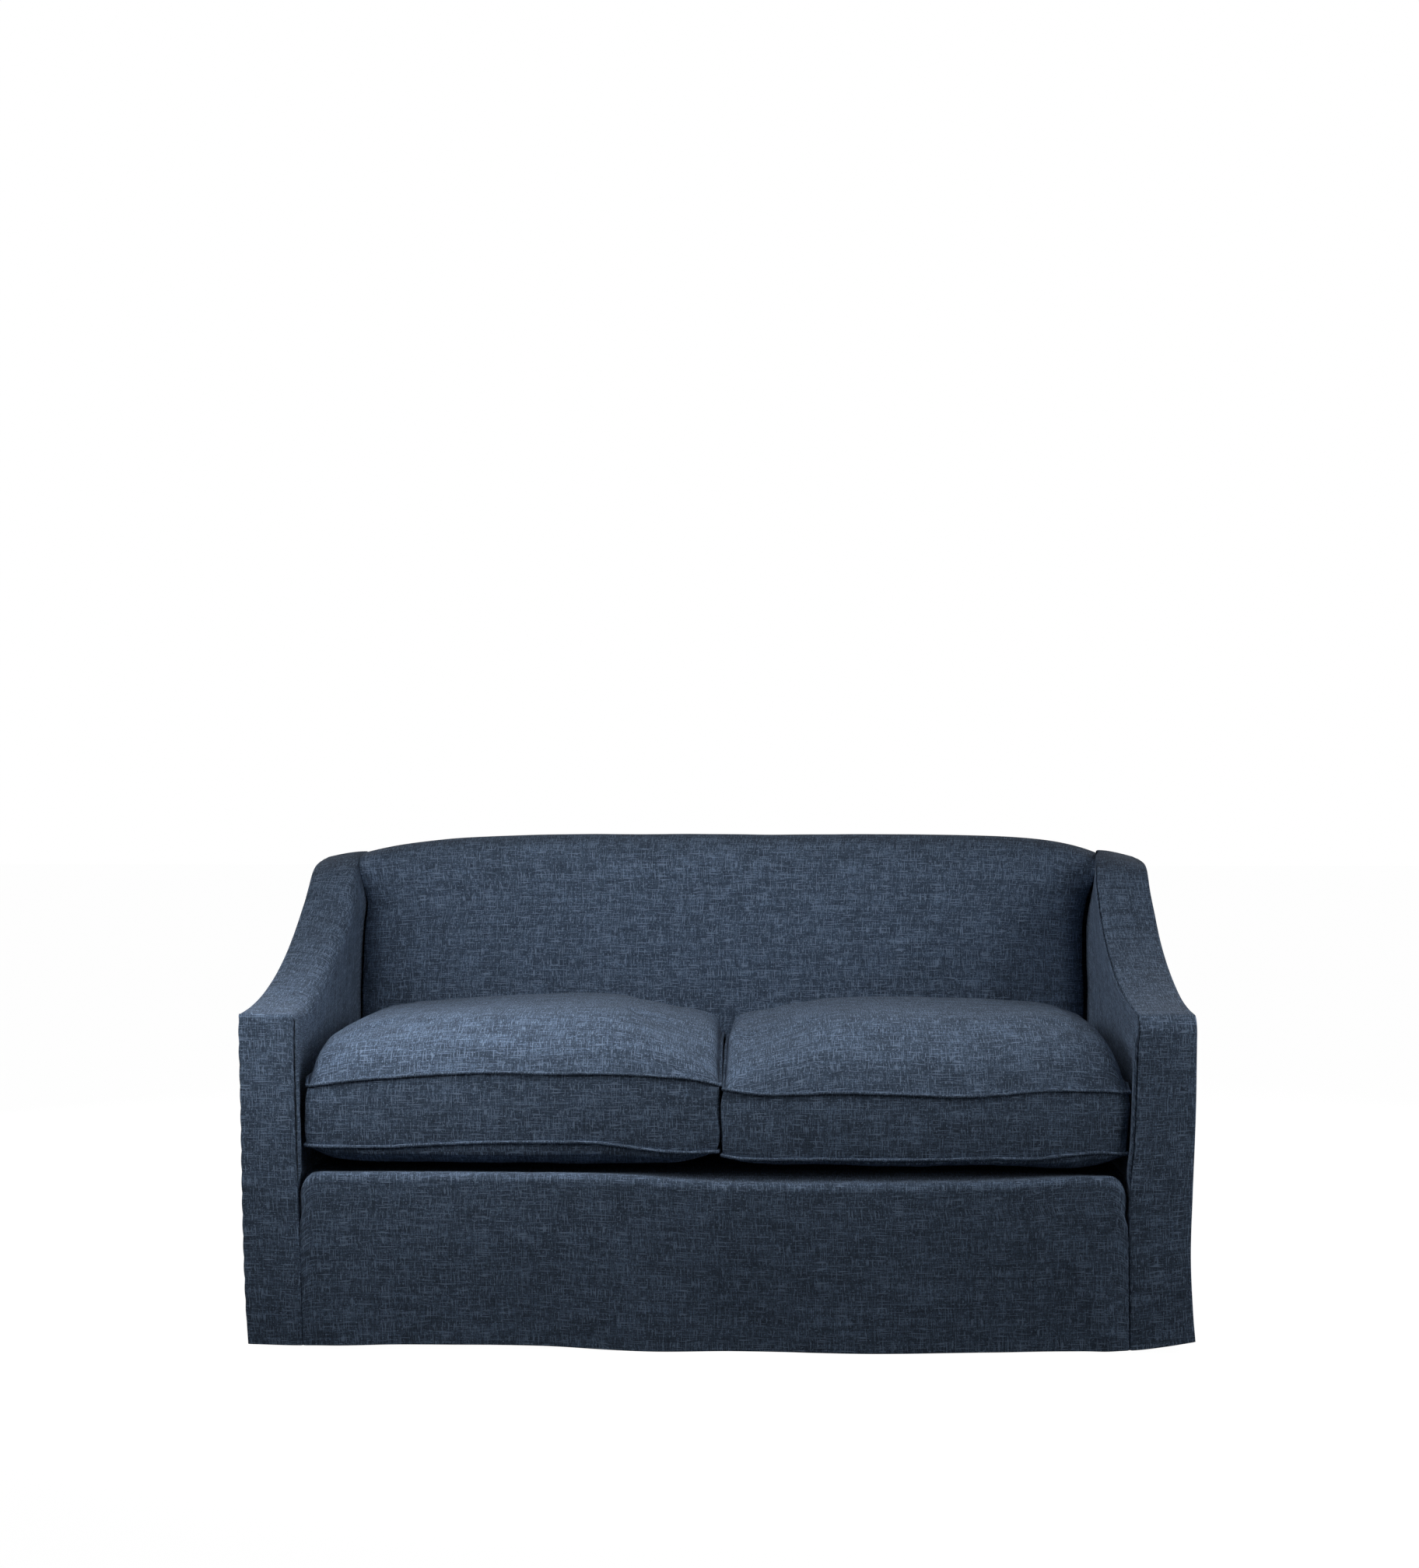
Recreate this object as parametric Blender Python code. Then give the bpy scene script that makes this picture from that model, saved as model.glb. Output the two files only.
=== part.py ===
"""Loose slipcover for a two-seat sofa with sloping arms, with its two boxed seat cushions.

The cover is open underneath and hollow, so that it drops over a sofa. Every cut panel is a
thin closed sheet of its own, and every cushion is one filled solid with its piping beside it.
Metres. X runs to the right as seen from the front, Y to the back, Z up. The origin is on the
floor under the middle of the cover. A depth is measured from the front of the arms backwards.
"""

from math import cos, pi, sin

import bmesh
import bpy

# Driving sizes
DEPTH = 0.900  # front of the arms to the outside of the back
CLOTH = 0.0022  # thickness of the linen
SEAM = 0.0005  # space between two panels along their seam
SIDE_CLEAR = 0.0012  # space between a panel's end and the panel that it runs up to
LAYER = CLOTH + SEAM  # how far a panel that passes behind another one lies under its face
LEFT, RIGHT = -1, 1

# Arms: height of each arm's top along its depth
#   depth, height on the left, height on the right
ARM_TOP = (
    (0.000, 0.567, 0.567),
    (0.100, 0.571, 0.571),
    (0.200, 0.583, 0.582),
    (0.300, 0.606, 0.603),
    (0.400, 0.637, 0.634),
    (0.480, 0.669, 0.669),
    (0.540, 0.698, 0.708),
    (0.580, 0.723, 0.744),
    (0.620, 0.750, 0.776),
    (0.670, 0.776, 0.793),
    (0.740, 0.792, 0.800),
    (0.860, 0.800, 0.803),
)
ARM_CORNER = 0.034  # radius where the right band turns from the arm's front to its top
REAR_ROLL = 0.028  # radius where the arm's top turns down behind
ARM_STEPS = 17  # stations along the arm's top
ARM_CREST = 0.003  # how far the arm's top swells between its edges
INNER_RISE = 0.012  # how far the arm's inner edge stands above its outer edge at the back
RISE_FROM, RISE_TO = 0.58, 0.74  # depths over which that rise builds up, to end with the rear roll
LEFT_ROLL = 0.024  # radius of the soft inner edge of the left arm's top
LEFT_ROLL_FRONT = 0.009  # the same where it meets the arm front
LEFT_ROLL_END = 0.004  # and where it ends at the back
ARM_JOIN = 0.7360  # depth at which the inside arms end, in the crease beside the back
ARM_TUCK = 0.210  # height of the lower edge of the inside arms, tucked in beside the deck

# Half widths of the cover at the outer and the inner faces of the arms
#   height, half width
OUTER_EDGE = {
    LEFT: (
        (0.00, 0.794),
        (0.08, 0.7990),
        (0.22, 0.8035),
        (0.40, 0.8065),
        (0.56, 0.8095),
        (0.61, 0.8050),
        (0.70, 0.8030),
        (0.735, 0.8005),
        (0.765, 0.8005),
        (0.79, 0.8030),
        (0.81, 0.8055),
    ),
    RIGHT: (
        (0.00, 0.8005),
        (0.05, 0.7965),
        (0.15, 0.7925),
        (0.26, 0.7955),
        (0.40, 0.8005),
        (0.56, 0.8030),
        (0.60, 0.8060),
        (0.70, 0.8070),
        (0.745, 0.8045),
        (0.775, 0.8050),
        (0.80, 0.8080),
        (0.82, 0.8080),
    ),
}
INNER_EDGE = {
    LEFT: (
        (0.00, 0.701),
        (0.13, 0.704),
        (0.23, 0.707),
        (0.30, 0.711),
        (0.50, 0.7160),
        (0.60, 0.7150),
        (0.67, 0.7115),
        (0.714, 0.7060),
        (0.75, 0.7095),
        (0.785, 0.7150),
        (0.82, 0.7165),
    ),
    RIGHT: (
        (0.00, 0.690),
        (0.22, 0.689),
        (0.28, 0.691),
        (0.35, 0.698),
        (0.44, 0.7015),
        (0.55, 0.7045),
        (0.60, 0.7025),
        (0.82, 0.7020),
    ),
}
#   depth, how far the inner edge of the arm's top goes out towards the back
ARM_FLARE = {
    LEFT: ((0.74, 0.0), (0.86, 0.006)),
    RIGHT: ((0.60, 0.0), (0.64, 0.005), (0.70, 0.012), (0.80, 0.028), (0.86, 0.034)),
}
FLARE_FROM, FLARE_TO = 0.66, 0.80  # heights over which it does so

# Back: the section of the inside back beside the arms and in the middle
#   depth and height at the sides, depth and height in the middle
BACK_SECTION = (
    (0.700, 0.285, 0.690, 0.285),
    (0.703, 0.430, 0.688, 0.430),
    (0.710, 0.580, 0.690, 0.580),
    (0.714, 0.700, 0.699, 0.700),
    (0.707, 0.760, 0.708, 0.765),
    (0.704, 0.787, 0.719, 0.802),
    (0.716, 0.803, 0.742, 0.831),
    (0.760, 0.810, 0.780, 0.847),
    (0.820, 0.812, 0.826, 0.846),
    (0.866, 0.808, 0.868, 0.836),
    (0.888, 0.797, 0.889, 0.819),
    (0.897, 0.787, 0.897, 0.803),
    (0.900, 0.774, 0.900, 0.786),
)
BACK_COLUMNS = 14
BACK_FULLNESS = (5.3, 8.0)  # how square the arch of the back's top is, on the left and on the right
BACK_CLEAR = 0.0021  # space between the back's right end and the upright face of the right arm
BACK_FACE = 0.99  # share across at which the back's face ends and its creases beside the arms begin
BACK_CREASE = (0.018, 0.022)  # how far it turns in beside the left and the right arm
CREASE_FROM, CREASE_TO = 0.70, 0.80  # heights over which the creases die out
CREASE_REACH = 0.80  # depth behind which they die out too

DECK = 0.290  # height of the deck under the cushions
DECK_RAMP = 0.09  # depth over which the deck comes down from the border's top edge
DECK_ROWS = (0.0, 0.03, 0.07, 0.12, 0.5, 1.0)  # its rows, as shares of the way to the back
DECK_CLEAR = 0.0015  # space between the deck's end and the inside back
SEAT_HALF = 0.70  # half width of the seat between the arms

# Seat: height of the front border's top edge
#   place across, height
SEAT_TOP = (
    (-0.70, 0.2990),
    (-0.40, 0.2990),
    (-0.18, 0.2965),
    (0.00, 0.2850),
    (0.17, 0.2830),
    (0.34, 0.2845),
    (0.50, 0.2895),
    (0.58, 0.2950),
    (0.70, 0.2970),
)
BORDER_CORNER = 0.034  # radius of the front border's top corners
BORDER_LIP = 0.012  # radius where the front border turns back to the deck
BORDER_SLIT = 0.225  # height down to which the border stands free beside the arms
SLIT_START = 0.020  # height over which that space closes
SLIT_WIDTH = {LEFT: 0.003, RIGHT: 0.006}
BORDER_COLUMNS = 22

# Hem: height above the floor along the front
#   place across, height
FRONT_HEM = (
    (-0.80, 0.0090),
    (-0.70, 0.0070),
    (-0.55, 0.0095),
    (-0.30, 0.0080),
    (-0.17, 0.0025),
    (0.05, 0.0010),
    (0.35, 0.0004),
    (0.55, 0.0030),
    (0.69, 0.0060),
    (0.73, 0.0100),
    (0.80, 0.0210),
)
HEM_END = 0.80  # place across where the front's hem turns the corner
HEM_TURN = 0.12  # depth over which it comes to the height of the sides' hem
HEM_LIFT = 0.004  # how far the hem stands off the floor at the sides and behind
HEM_WAVE = 0.003  # and how much that height wanders

# Soft upright folds of the panels that hang to the floor
#   place across, half width, forward swell at the hem, height at which it dies out
FRONT_FOLDS = (
    (-0.62, 0.10, 0.005, 0.22),
    (-0.33, 0.13, -0.004, 0.20),
    (-0.10, 0.12, 0.008, 0.24),
    (0.26, 0.20, 0.011, 0.26),
    (0.57, 0.11, -0.003, 0.20),
    (0.66, 0.05, 0.006, 0.18),
)
#   depth, half width, outward swell at the hem, height at which it dies out
ARM_FOLDS = (
    (0.14, 0.09, 0.007, 0.40),
    (0.38, 0.12, -0.005, 0.34),
    (0.62, 0.11, 0.009, 0.44),
    (0.80, 0.08, -0.004, 0.30),
)
#   place across, half width, swell to the rear at the hem, height at which it dies out
REAR_FOLDS = (
    (-0.55, 0.14, -0.006, 0.40),
    (-0.20, 0.16, -0.004, 0.50),
    (0.18, 0.15, -0.007, 0.36),
    (0.52, 0.13, -0.005, 0.46),
)

# Cushions
PIPING = 0.0030  # radius of the piping
PIPING_CLEAR = 0.0004  # space between the piping and its cushion's seam
CUSHION_FRONT, CUSHION_BACK = 0.013, 0.684  # depths of the piping's outer faces
CUSHION_COLUMNS, CUSHION_ROWS, BOXING_ROWS = 12, 10, 3
CROWN_SQUARE, CROWN_ROUND = 4.5, 0.45  # how full the crown is towards the front and rear seams
EDGE_SQUARE = 40  # how steeply it comes up from the side seams
#   place from -1 to 1 across the cushion, height of the crown over the top seam
CROWNS = {
    "cushion_left": (
        (-1.0, 0.071),
        (-0.85, 0.081),
        (-0.7, 0.0837),
        (-0.25, 0.0863),
        (0.0, 0.0891),
        (0.5, 0.0930),
        (0.7, 0.0814),
        (0.93, 0.0560),
        (1.0, 0.0540),
    ),
    "cushion_right": (
        (-1.0, 0.055),
        (-0.93, 0.0610),
        (-0.7, 0.0965),
        (-0.5, 0.1122),
        (-0.25, 0.1187),
        (0.0, 0.1195),
        (0.5, 0.1136),
        (0.85, 0.1000),
        (1.0, 0.066),
    ),
}
JOINT_RISE = 0.055  # how much higher the top seams stand between the two cushions
RISE_FULL, RISE_HOLD, RISE_GONE = -0.35, 0.1, 0.9  # shares of the way to the back where they do
JOINT_PULL = 0.0025  # how far the seams are drawn in there
ARM_SIDE_SQUARE = {"cushion_left": (6.5, 4.5), "cushion_right": (4.5, 8.0)}  # of the underside
CORNER_CUT = 0.012  # how much the corners are rounded, as a share of the half width
CUSHION_REST = 0.0006  # space between a cushion's lowest point and the deck
LIP_RUN, LIP_HEIGHT = 0.034, 0.3115  # depth over which a cushion rounds under its front seam, and down to
REST_FROM = 0.235  # depth from which it lies on the deck
#   name, left side, right side, side draw, top seam and its arch, bottom seam, its arch and tilt
CUSHIONS = (
    ("cushion_left", -0.7080, 0.0070, 0.006, 0.441, 0.022, 0.341, 0.006, 0.006),
    ("cushion_right", 0.0045, 0.6965, 0.008, 0.437, -0.006, 0.331, -0.009, -0.001),
)

LINEN = (0.036, 0.056, 0.088, 1.0)  # mid blue of the cloth
LINEN_SHADES = {"outside": 0.80, "inside": 1.0, "front": 0.90, "seat": 0.70, "cushion": 1.30, "piping": 1.10}


def clear_scene():
    for item in list(bpy.data.objects):
        bpy.data.objects.remove(item, do_unlink=True)


def along(rows, at):
    """Value at a place on a smooth curve through (place, value) rows, level past its ends."""
    last = len(rows) - 1
    if at <= rows[0][0]:
        return rows[0][1]
    if at >= rows[last][0]:
        return rows[last][1]
    left = max(i for i in range(last) if rows[i][0] <= at)

    def slope(i):
        before, after = rows[max(i - 1, 0)], rows[min(i + 1, last)]
        return (after[1] - before[1]) / (after[0] - before[0])

    (start, low), (end, high) = rows[left][:2], rows[left + 1][:2]
    span = end - start
    t = (at - start) / span
    hold = (1 + 2 * t) * (1 - t) ** 2 * low + t * t * (3 - 2 * t) * high
    turn = t * (1 - t) ** 2 * slope(left) - t * t * (1 - t) * slope(left + 1)
    return hold + span * turn


def ease(value, start, end):
    """0 before start, 1 after end, smooth between."""
    t = min(max((value - start) / (end - start), 0.0), 1.0)
    return t * t * (3 - 2 * t)


def blend(low, high, share):
    return low + (high - low) * share


def world(across, depth, height):
    return (across, depth - DEPTH / 2, height)


def folds(rows, place, height):
    """Sum of the soft upright folds at a place along a hanging panel."""
    total = 0.0
    for middle, half, swell, top in rows:
        reach = max(1 - abs(place - middle) / half, 0.0)
        fade = max(1 - height / top, 0.0)
        total += swell * reach * reach * (3 - 2 * reach) * fade
    return total


def hem_height(place):
    """Height of the hem at the sides and behind, uneven but never on the floor."""
    return HEM_LIFT + HEM_WAVE * sin(9.0 * place + 0.6) * cos(4.0 * place)


def outer_edge(side, depth, height):
    """Across place of the arm's outer face."""
    swell = folds(ARM_FOLDS, depth, height) * ease(depth, 0.0, 0.08) * ease(DEPTH - depth, 0.0, 0.08)
    return side * (along(OUTER_EDGE[side], height) + swell)


def inner_edge(side, depth, height):
    """Across place of the arm's inner face."""
    flare = along(ARM_FLARE[side], depth) * ease(height, FLARE_FROM, FLARE_TO)
    return side * (along(INNER_EDGE[side], height) + flare)


def arm_top(side, depth):
    return along([(row[0], row[1 if side == LEFT else 2]) for row in ARM_TOP], depth)


def arm_rise(depth):
    return INNER_RISE * ease(depth, RISE_FROM, RISE_TO) * ease(DEPTH - depth, 0.0, REAR_ROLL)


def arm_top_stations(side, start):
    """(depth, height) points along the arm's top, from a start depth over the rear roll.

    One of them is where the inside arm ends at the back."""
    end = DEPTH - REAR_ROLL
    top = arm_top(side, end)
    depths = [blend(start, end, i / ARM_STEPS) for i in range(ARM_STEPS + 1)]
    nearest = min(range(ARM_STEPS + 1), key=lambda i: abs(depths[i] - ARM_JOIN))
    depths[nearest] = ARM_JOIN
    stations = [(depth, arm_top(side, depth)) for depth in depths]
    for i in range(1, 5):
        turn = i / 4 * pi / 2
        stations.append((end + REAR_ROLL * sin(turn), top - REAR_ROLL * (1 - cos(turn))))
    return stations


def band_corner():
    """(depth, height) points where the right band turns from the arm's front to its top."""
    top = arm_top(RIGHT, ARM_CORNER)
    points = []
    for i in range(5):
        turn = i / 5 * pi / 2
        points.append((ARM_CORNER * (1 - cos(turn)), top - ARM_CORNER * (1 - sin(turn))))
    return points


def inset(stations, by):
    """The same line, moved square to itself to its under side."""
    moved = []
    for i, (depth, height) in enumerate(stations):
        before, after = stations[max(i - 1, 0)], stations[min(i + 1, len(stations) - 1)]
        normals = []
        for first, second in ((before, (depth, height)), ((depth, height), after)):
            run, rise = second[0] - first[0], second[1] - first[1]
            length = (run * run + rise * rise) ** 0.5
            if length > 0:
                normals.append((rise / length, -run / length))
        mean = [sum(n[k] for n in normals) / len(normals) for k in (0, 1)]
        size = mean[0] ** 2 + mean[1] ** 2
        moved.append((depth + by * mean[0] / size, height + by * mean[1] / size))
    return moved


def new_grid(columns, rows, place):
    """A grid of columns by rows of faces, each vertex put where place(column, row) says."""
    mesh = bmesh.new()
    bmesh.ops.create_grid(mesh, x_segments=columns, y_segments=rows, size=1.0)
    mesh.verts.ensure_lookup_table()
    for vertex in mesh.verts:
        column, row = vertex.index % (columns + 1), vertex.index // (columns + 1)
        vertex.co = place(column, row)
    return mesh


def linen(name, shade):
    material = bpy.data.materials.new(name + "_linen")
    material.use_nodes = True
    shader = material.node_tree.nodes["Principled BSDF"]
    colour = tuple(c * LINEN_SHADES[shade] for c in LINEN[:3]) + (1.0,)
    shader.inputs["Base Color"].default_value = colour
    shader.inputs["Roughness"].default_value = 0.85
    shader.inputs["Metallic"].default_value = 0.0
    material.diffuse_color = colour
    return material


def add_object(name, data, shade):
    item = bpy.data.objects.new(name, data)
    bpy.context.scene.collection.objects.link(item)
    data.materials.append(linen(name, shade))
    return item


def add_sheet(name, mesh, shade, flip=False):
    """Makes a panel from a surface whose faces point to its right side, backed by its cloth."""
    if flip:
        bmesh.ops.reverse_faces(mesh, faces=mesh.faces)
    data = bpy.data.meshes.new(name)
    mesh.to_mesh(data)
    mesh.free()
    data.shade_smooth()
    item = add_object(name, data, shade)
    cloth = item.modifiers.new("cloth", "SOLIDIFY")
    cloth.thickness = CLOTH
    cloth.offset = -1.0
    cloth.use_even_offset = True
    return item


def make_arm_band_right():
    """One strip from the hem up the arm's front, over the corner and along the arm's top."""
    upright = 6
    corner = band_corner()
    stations = []
    for i in range(upright):
        stations.append((0.0, corner[0][1] * i / upright))
    stations += corner + arm_top_stations(RIGHT, ARM_CORNER)
    columns = 4

    def place(column, row):
        depth, height = stations[row]
        share = column / columns
        across = blend(inner_edge(RIGHT, depth, height), outer_edge(RIGHT, depth, height), share)
        if row < upright:
            height = blend(along(FRONT_HEM, across), corner[0][1], row / upright)
        on_top = ease(depth, 0.0, 2 * ARM_CORNER)
        height += on_top * (ARM_CREST * 4 * share * (1 - share) + arm_rise(depth) * (1 - share))
        return world(across, depth, height)

    return add_sheet("arm_band_right", new_grid(columns, len(stations) - 1, place), "front")


def make_arm_front_left():
    """Upright panel on the arm's front, rounded at its top inner corner."""
    columns, rows = 6, 6

    def place(column, row):
        rounded = LEFT_ROLL_FRONT
        top = arm_top(LEFT, 0.0)
        turn = max(column - (columns - 4), 0) / 4 * pi / 2
        if column <= columns - 4:
            share = column / (columns - 4)
        else:
            share = 1.0
        height = blend(0.0, top, row / rows)
        flat_end = inner_edge(LEFT, 0.0, height) - rounded
        across = blend(outer_edge(LEFT, 0.0, height), flat_end, share) + rounded * sin(turn)
        edge = top - rounded * (1 - cos(turn))
        return world(across, 0.0, blend(along(FRONT_HEM, across), edge, row / rows))

    return add_sheet("arm_front_left", new_grid(columns, rows, place), "front")


def make_inside_arm_left():
    """One panel over the arm's top that rolls over its inner edge and down the inside."""
    stations = arm_top_stations(LEFT, LAYER)
    near = [depth for depth, height in stations].index(ARM_JOIN)
    columns, roll_steps, face_steps = 3, 4, 5

    def roll(depth):
        front = blend(LEFT_ROLL_FRONT, LEFT_ROLL, ease(depth, 0.0, 0.16))
        return blend(front, LEFT_ROLL_END, ease(depth, 0.60, ARM_JOIN))

    def crest(depth, share):
        return ARM_CREST * 4 * share * (1 - share) + arm_rise(depth) * share

    def strip_end(depth, height):
        inner = inner_edge(LEFT, depth, height)
        return inner - roll(depth) if depth <= ARM_JOIN else inner

    def place(column, row):
        depth, height = stations[row]
        share = column / columns
        across = blend(outer_edge(LEFT, depth, height), strip_end(depth, height), share)
        return world(across, depth, height + crest(depth, share) * ease(depth, 0.0, 0.05))

    mesh = new_grid(columns, len(stations) - 1, place)
    mesh.verts.ensure_lookup_table()
    edge = [mesh.verts[row * (columns + 1) + columns] for row in range(near + 1)]
    for step in range(1, roll_steps + face_steps + 1):
        lines = [mesh.edges.get((edge[i], edge[i + 1])) for i in range(near)]
        made = bmesh.ops.extrude_edge_only(mesh, edges=lines)
        fresh = [v for v in made["geom"] if isinstance(v, bmesh.types.BMVert)]
        edge = sorted(fresh, key=lambda v: v.co.y)
        for vertex, (depth, height) in zip(edge, stations):
            radius = roll(depth)
            top = height + arm_rise(depth)
            if step <= roll_steps:
                turn = step / roll_steps * pi / 2
                level = top - radius * (1 - cos(turn))
                across = inner_edge(LEFT, depth, top) - radius * (1 - sin(turn))
            else:
                level = blend(top - radius, ARM_TUCK, (step - roll_steps) / face_steps)
                across = inner_edge(LEFT, depth, level)
            vertex.co = world(across, depth, level)
    bmesh.ops.recalc_face_normals(mesh, faces=mesh.faces)
    return add_sheet("inside_arm_left", mesh, "inside")


def make_inside_arm_right():
    """Upright panel from the tuck-in beside the deck to the band's inner edge."""
    line = inset(band_corner() + arm_top_stations(RIGHT, ARM_CORNER), LAYER)
    line = [spot for spot in line if spot[0] < ARM_JOIN + LAYER]
    rows = 5

    def place(column, row):
        depth, top = line[column]
        top += arm_rise(depth) - SIDE_CLEAR
        height = blend(ARM_TUCK, top, row / rows)
        return world(inner_edge(RIGHT, depth, height), depth, height)

    return add_sheet("inside_arm_right", new_grid(len(line) - 1, rows, place), "inside", flip=True)


def make_outside_arm(side):
    """Panel from the hem to the arm's outer edge, with soft folds at its foot."""
    if side == RIGHT:
        line = inset(band_corner() + arm_top_stations(RIGHT, ARM_CORNER), LAYER)
    else:
        line = inset(arm_top_stations(LEFT, LAYER), LAYER + SEAM)
    rows = 6

    def place(column, row):
        depth, top = line[column]
        foot = blend(along(FRONT_HEM, side * HEM_END), hem_height(depth), ease(depth, 0.0, HEM_TURN))
        height = blend(foot, top, row / rows)
        return world(outer_edge(side, depth, height), depth, height)

    name = "outside_arm_left" if side == LEFT else "outside_arm_right"
    return add_sheet(name, new_grid(len(line) - 1, rows, place), "outside", flip=side == LEFT)


def back_point(share, row):
    """Place on the inside back: share -1 to 1 across, row of the section."""
    side_depth, side_height, depth, height = BACK_SECTION[row]
    arch = abs(share) ** BACK_FULLNESS[share > 0]
    depth = blend(depth, side_depth, arch)
    height = blend(height, side_height, arch)
    if abs(share) > BACK_FACE:
        face = 1 - ease(depth, CREASE_REACH, DEPTH)
        depth += BACK_CREASE[share > 0] * face * (1 - ease(height, CREASE_FROM, CREASE_TO))
    low = inner_edge(LEFT, depth, height) + SIDE_CLEAR
    high = inner_edge(RIGHT, depth, height) - BACK_CLEAR
    return blend(low, high, (share + 1) / 2), depth, height


def back_share(column):
    """Columns across the back, closer together towards its ends."""
    return sin(blend(-1, 1, column / BACK_COLUMNS) * pi / 2)


def make_inside_back():
    def place(column, row):
        return world(*back_point(back_share(column), row))

    return add_sheet("inside_back", new_grid(BACK_COLUMNS, len(BACK_SECTION) - 1, place), "inside")


def make_outside_back():
    """Panel from the hem to the seam behind the top, as wide as the cover."""
    rows = 6
    last = len(BACK_SECTION) - 1
    seam = [back_point(back_share(c), last)[::2] for c in range(BACK_COLUMNS + 1)]
    ends = {side: arm_top_stations(side, LAYER)[-1][1] for side in (LEFT, RIGHT)}
    tops = [(outer_edge(LEFT, DEPTH, ends[LEFT]), ends[LEFT])]
    tops.append((inner_edge(LEFT, DEPTH, ends[LEFT]), min(ends[LEFT], seam[0][1])))
    tops += seam[1:-1]
    tops.append((inner_edge(RIGHT, DEPTH, ends[RIGHT]), min(ends[RIGHT], seam[-1][1])))
    tops.append((outer_edge(RIGHT, DEPTH, ends[RIGHT]), ends[RIGHT]))
    columns = len(tops) - 1

    def place(column, row):
        across, top = tops[column]
        height = blend(hem_height(across + 2.0), top - SIDE_CLEAR, row / rows)
        if column == 0:
            across = outer_edge(LEFT, DEPTH, height)
        if column == columns:
            across = outer_edge(RIGHT, DEPTH, height)
        return world(across, DEPTH + folds(REAR_FOLDS, across, height), height)

    return add_sheet("outside_back", new_grid(columns, rows, place), "outside", flip=True)


def border_line():
    """Columns of the front border: place across at its foot, and how deep in the corner it lies."""
    spots = []
    corner_steps = 4
    for i in range(corner_steps):
        spots.append((LEFT, cos(i / corner_steps * pi / 2)))
    inner = BORDER_COLUMNS - 2 * corner_steps
    for i in range(inner + 1):
        spots.append((blend(-1.0, 1.0, i / inner), 0.0))
    for i in range(corner_steps - 1, -1, -1):
        spots.append((RIGHT, cos(i / corner_steps * pi / 2)))
    return spots


def seat_point(spot, height, slit):
    """Across place on the border or deck for a column, at a height."""
    share, corner = spot
    left = inner_edge(LEFT, 0.0, height) + SIDE_CLEAR + slit * SLIT_WIDTH[LEFT] + BORDER_CORNER
    right = inner_edge(RIGHT, 0.0, height) - SIDE_CLEAR - slit * SLIT_WIDTH[RIGHT] - BORDER_CORNER
    return blend(left, right, (share + 1) / 2) + share * corner * BORDER_CORNER


def corner_drop(spot):
    return BORDER_CORNER * (1 - (1 - spot[1] ** 2) ** 0.5)


def make_front_border():
    """Panel from the hem to the deck, rounded at its top corners, with a lip that turns back."""
    spots = border_line()
    upright, lip = 7, 3

    def place(column, row):
        spot = spots[column]
        rise = min(row / upright, 1.0)
        turn = max(row - upright, 0) / lip * pi / 2
        level = DECK * rise
        slit = ease(level, BORDER_SLIT - SLIT_START, BORDER_SLIT)
        across = seat_point(spot, level, slit)
        edge = along(SEAT_TOP, across) - corner_drop(spot) - BORDER_LIP
        height = blend(along(FRONT_HEM, across), edge, rise)
        depth = -folds(FRONT_FOLDS, across, height) * ease(SEAT_HALF - abs(across), 0.0, 0.06)
        return world(across, depth + BORDER_LIP * (1 - cos(turn)), height + BORDER_LIP * sin(turn))

    return add_sheet("front_border", new_grid(BORDER_COLUMNS, upright + lip, place), "front")


def make_seat_deck():
    """Panel under the cushions, from the border's lip down to its level part and to the inside back."""
    spots = border_line()

    def place(column, row):
        spot = spots[column]
        across = seat_point(spot, DECK, 1.0)
        arch = (abs(across) / SEAT_HALF) ** BACK_FULLNESS[across > 0]
        end = blend(BACK_SECTION[0][2], BACK_SECTION[0][0], arch) - DECK_CLEAR
        depth = blend(BORDER_LIP + SIDE_CLEAR + SEAM, end, DECK_ROWS[row])
        edge = along(SEAT_TOP, across) - corner_drop(spot)
        return world(across, depth, blend(edge, DECK, ease(depth, BORDER_LIP, DECK_RAMP)))

    return add_sheet("seat_deck", new_grid(BORDER_COLUMNS, len(DECK_ROWS) - 1, place), "seat")


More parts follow.
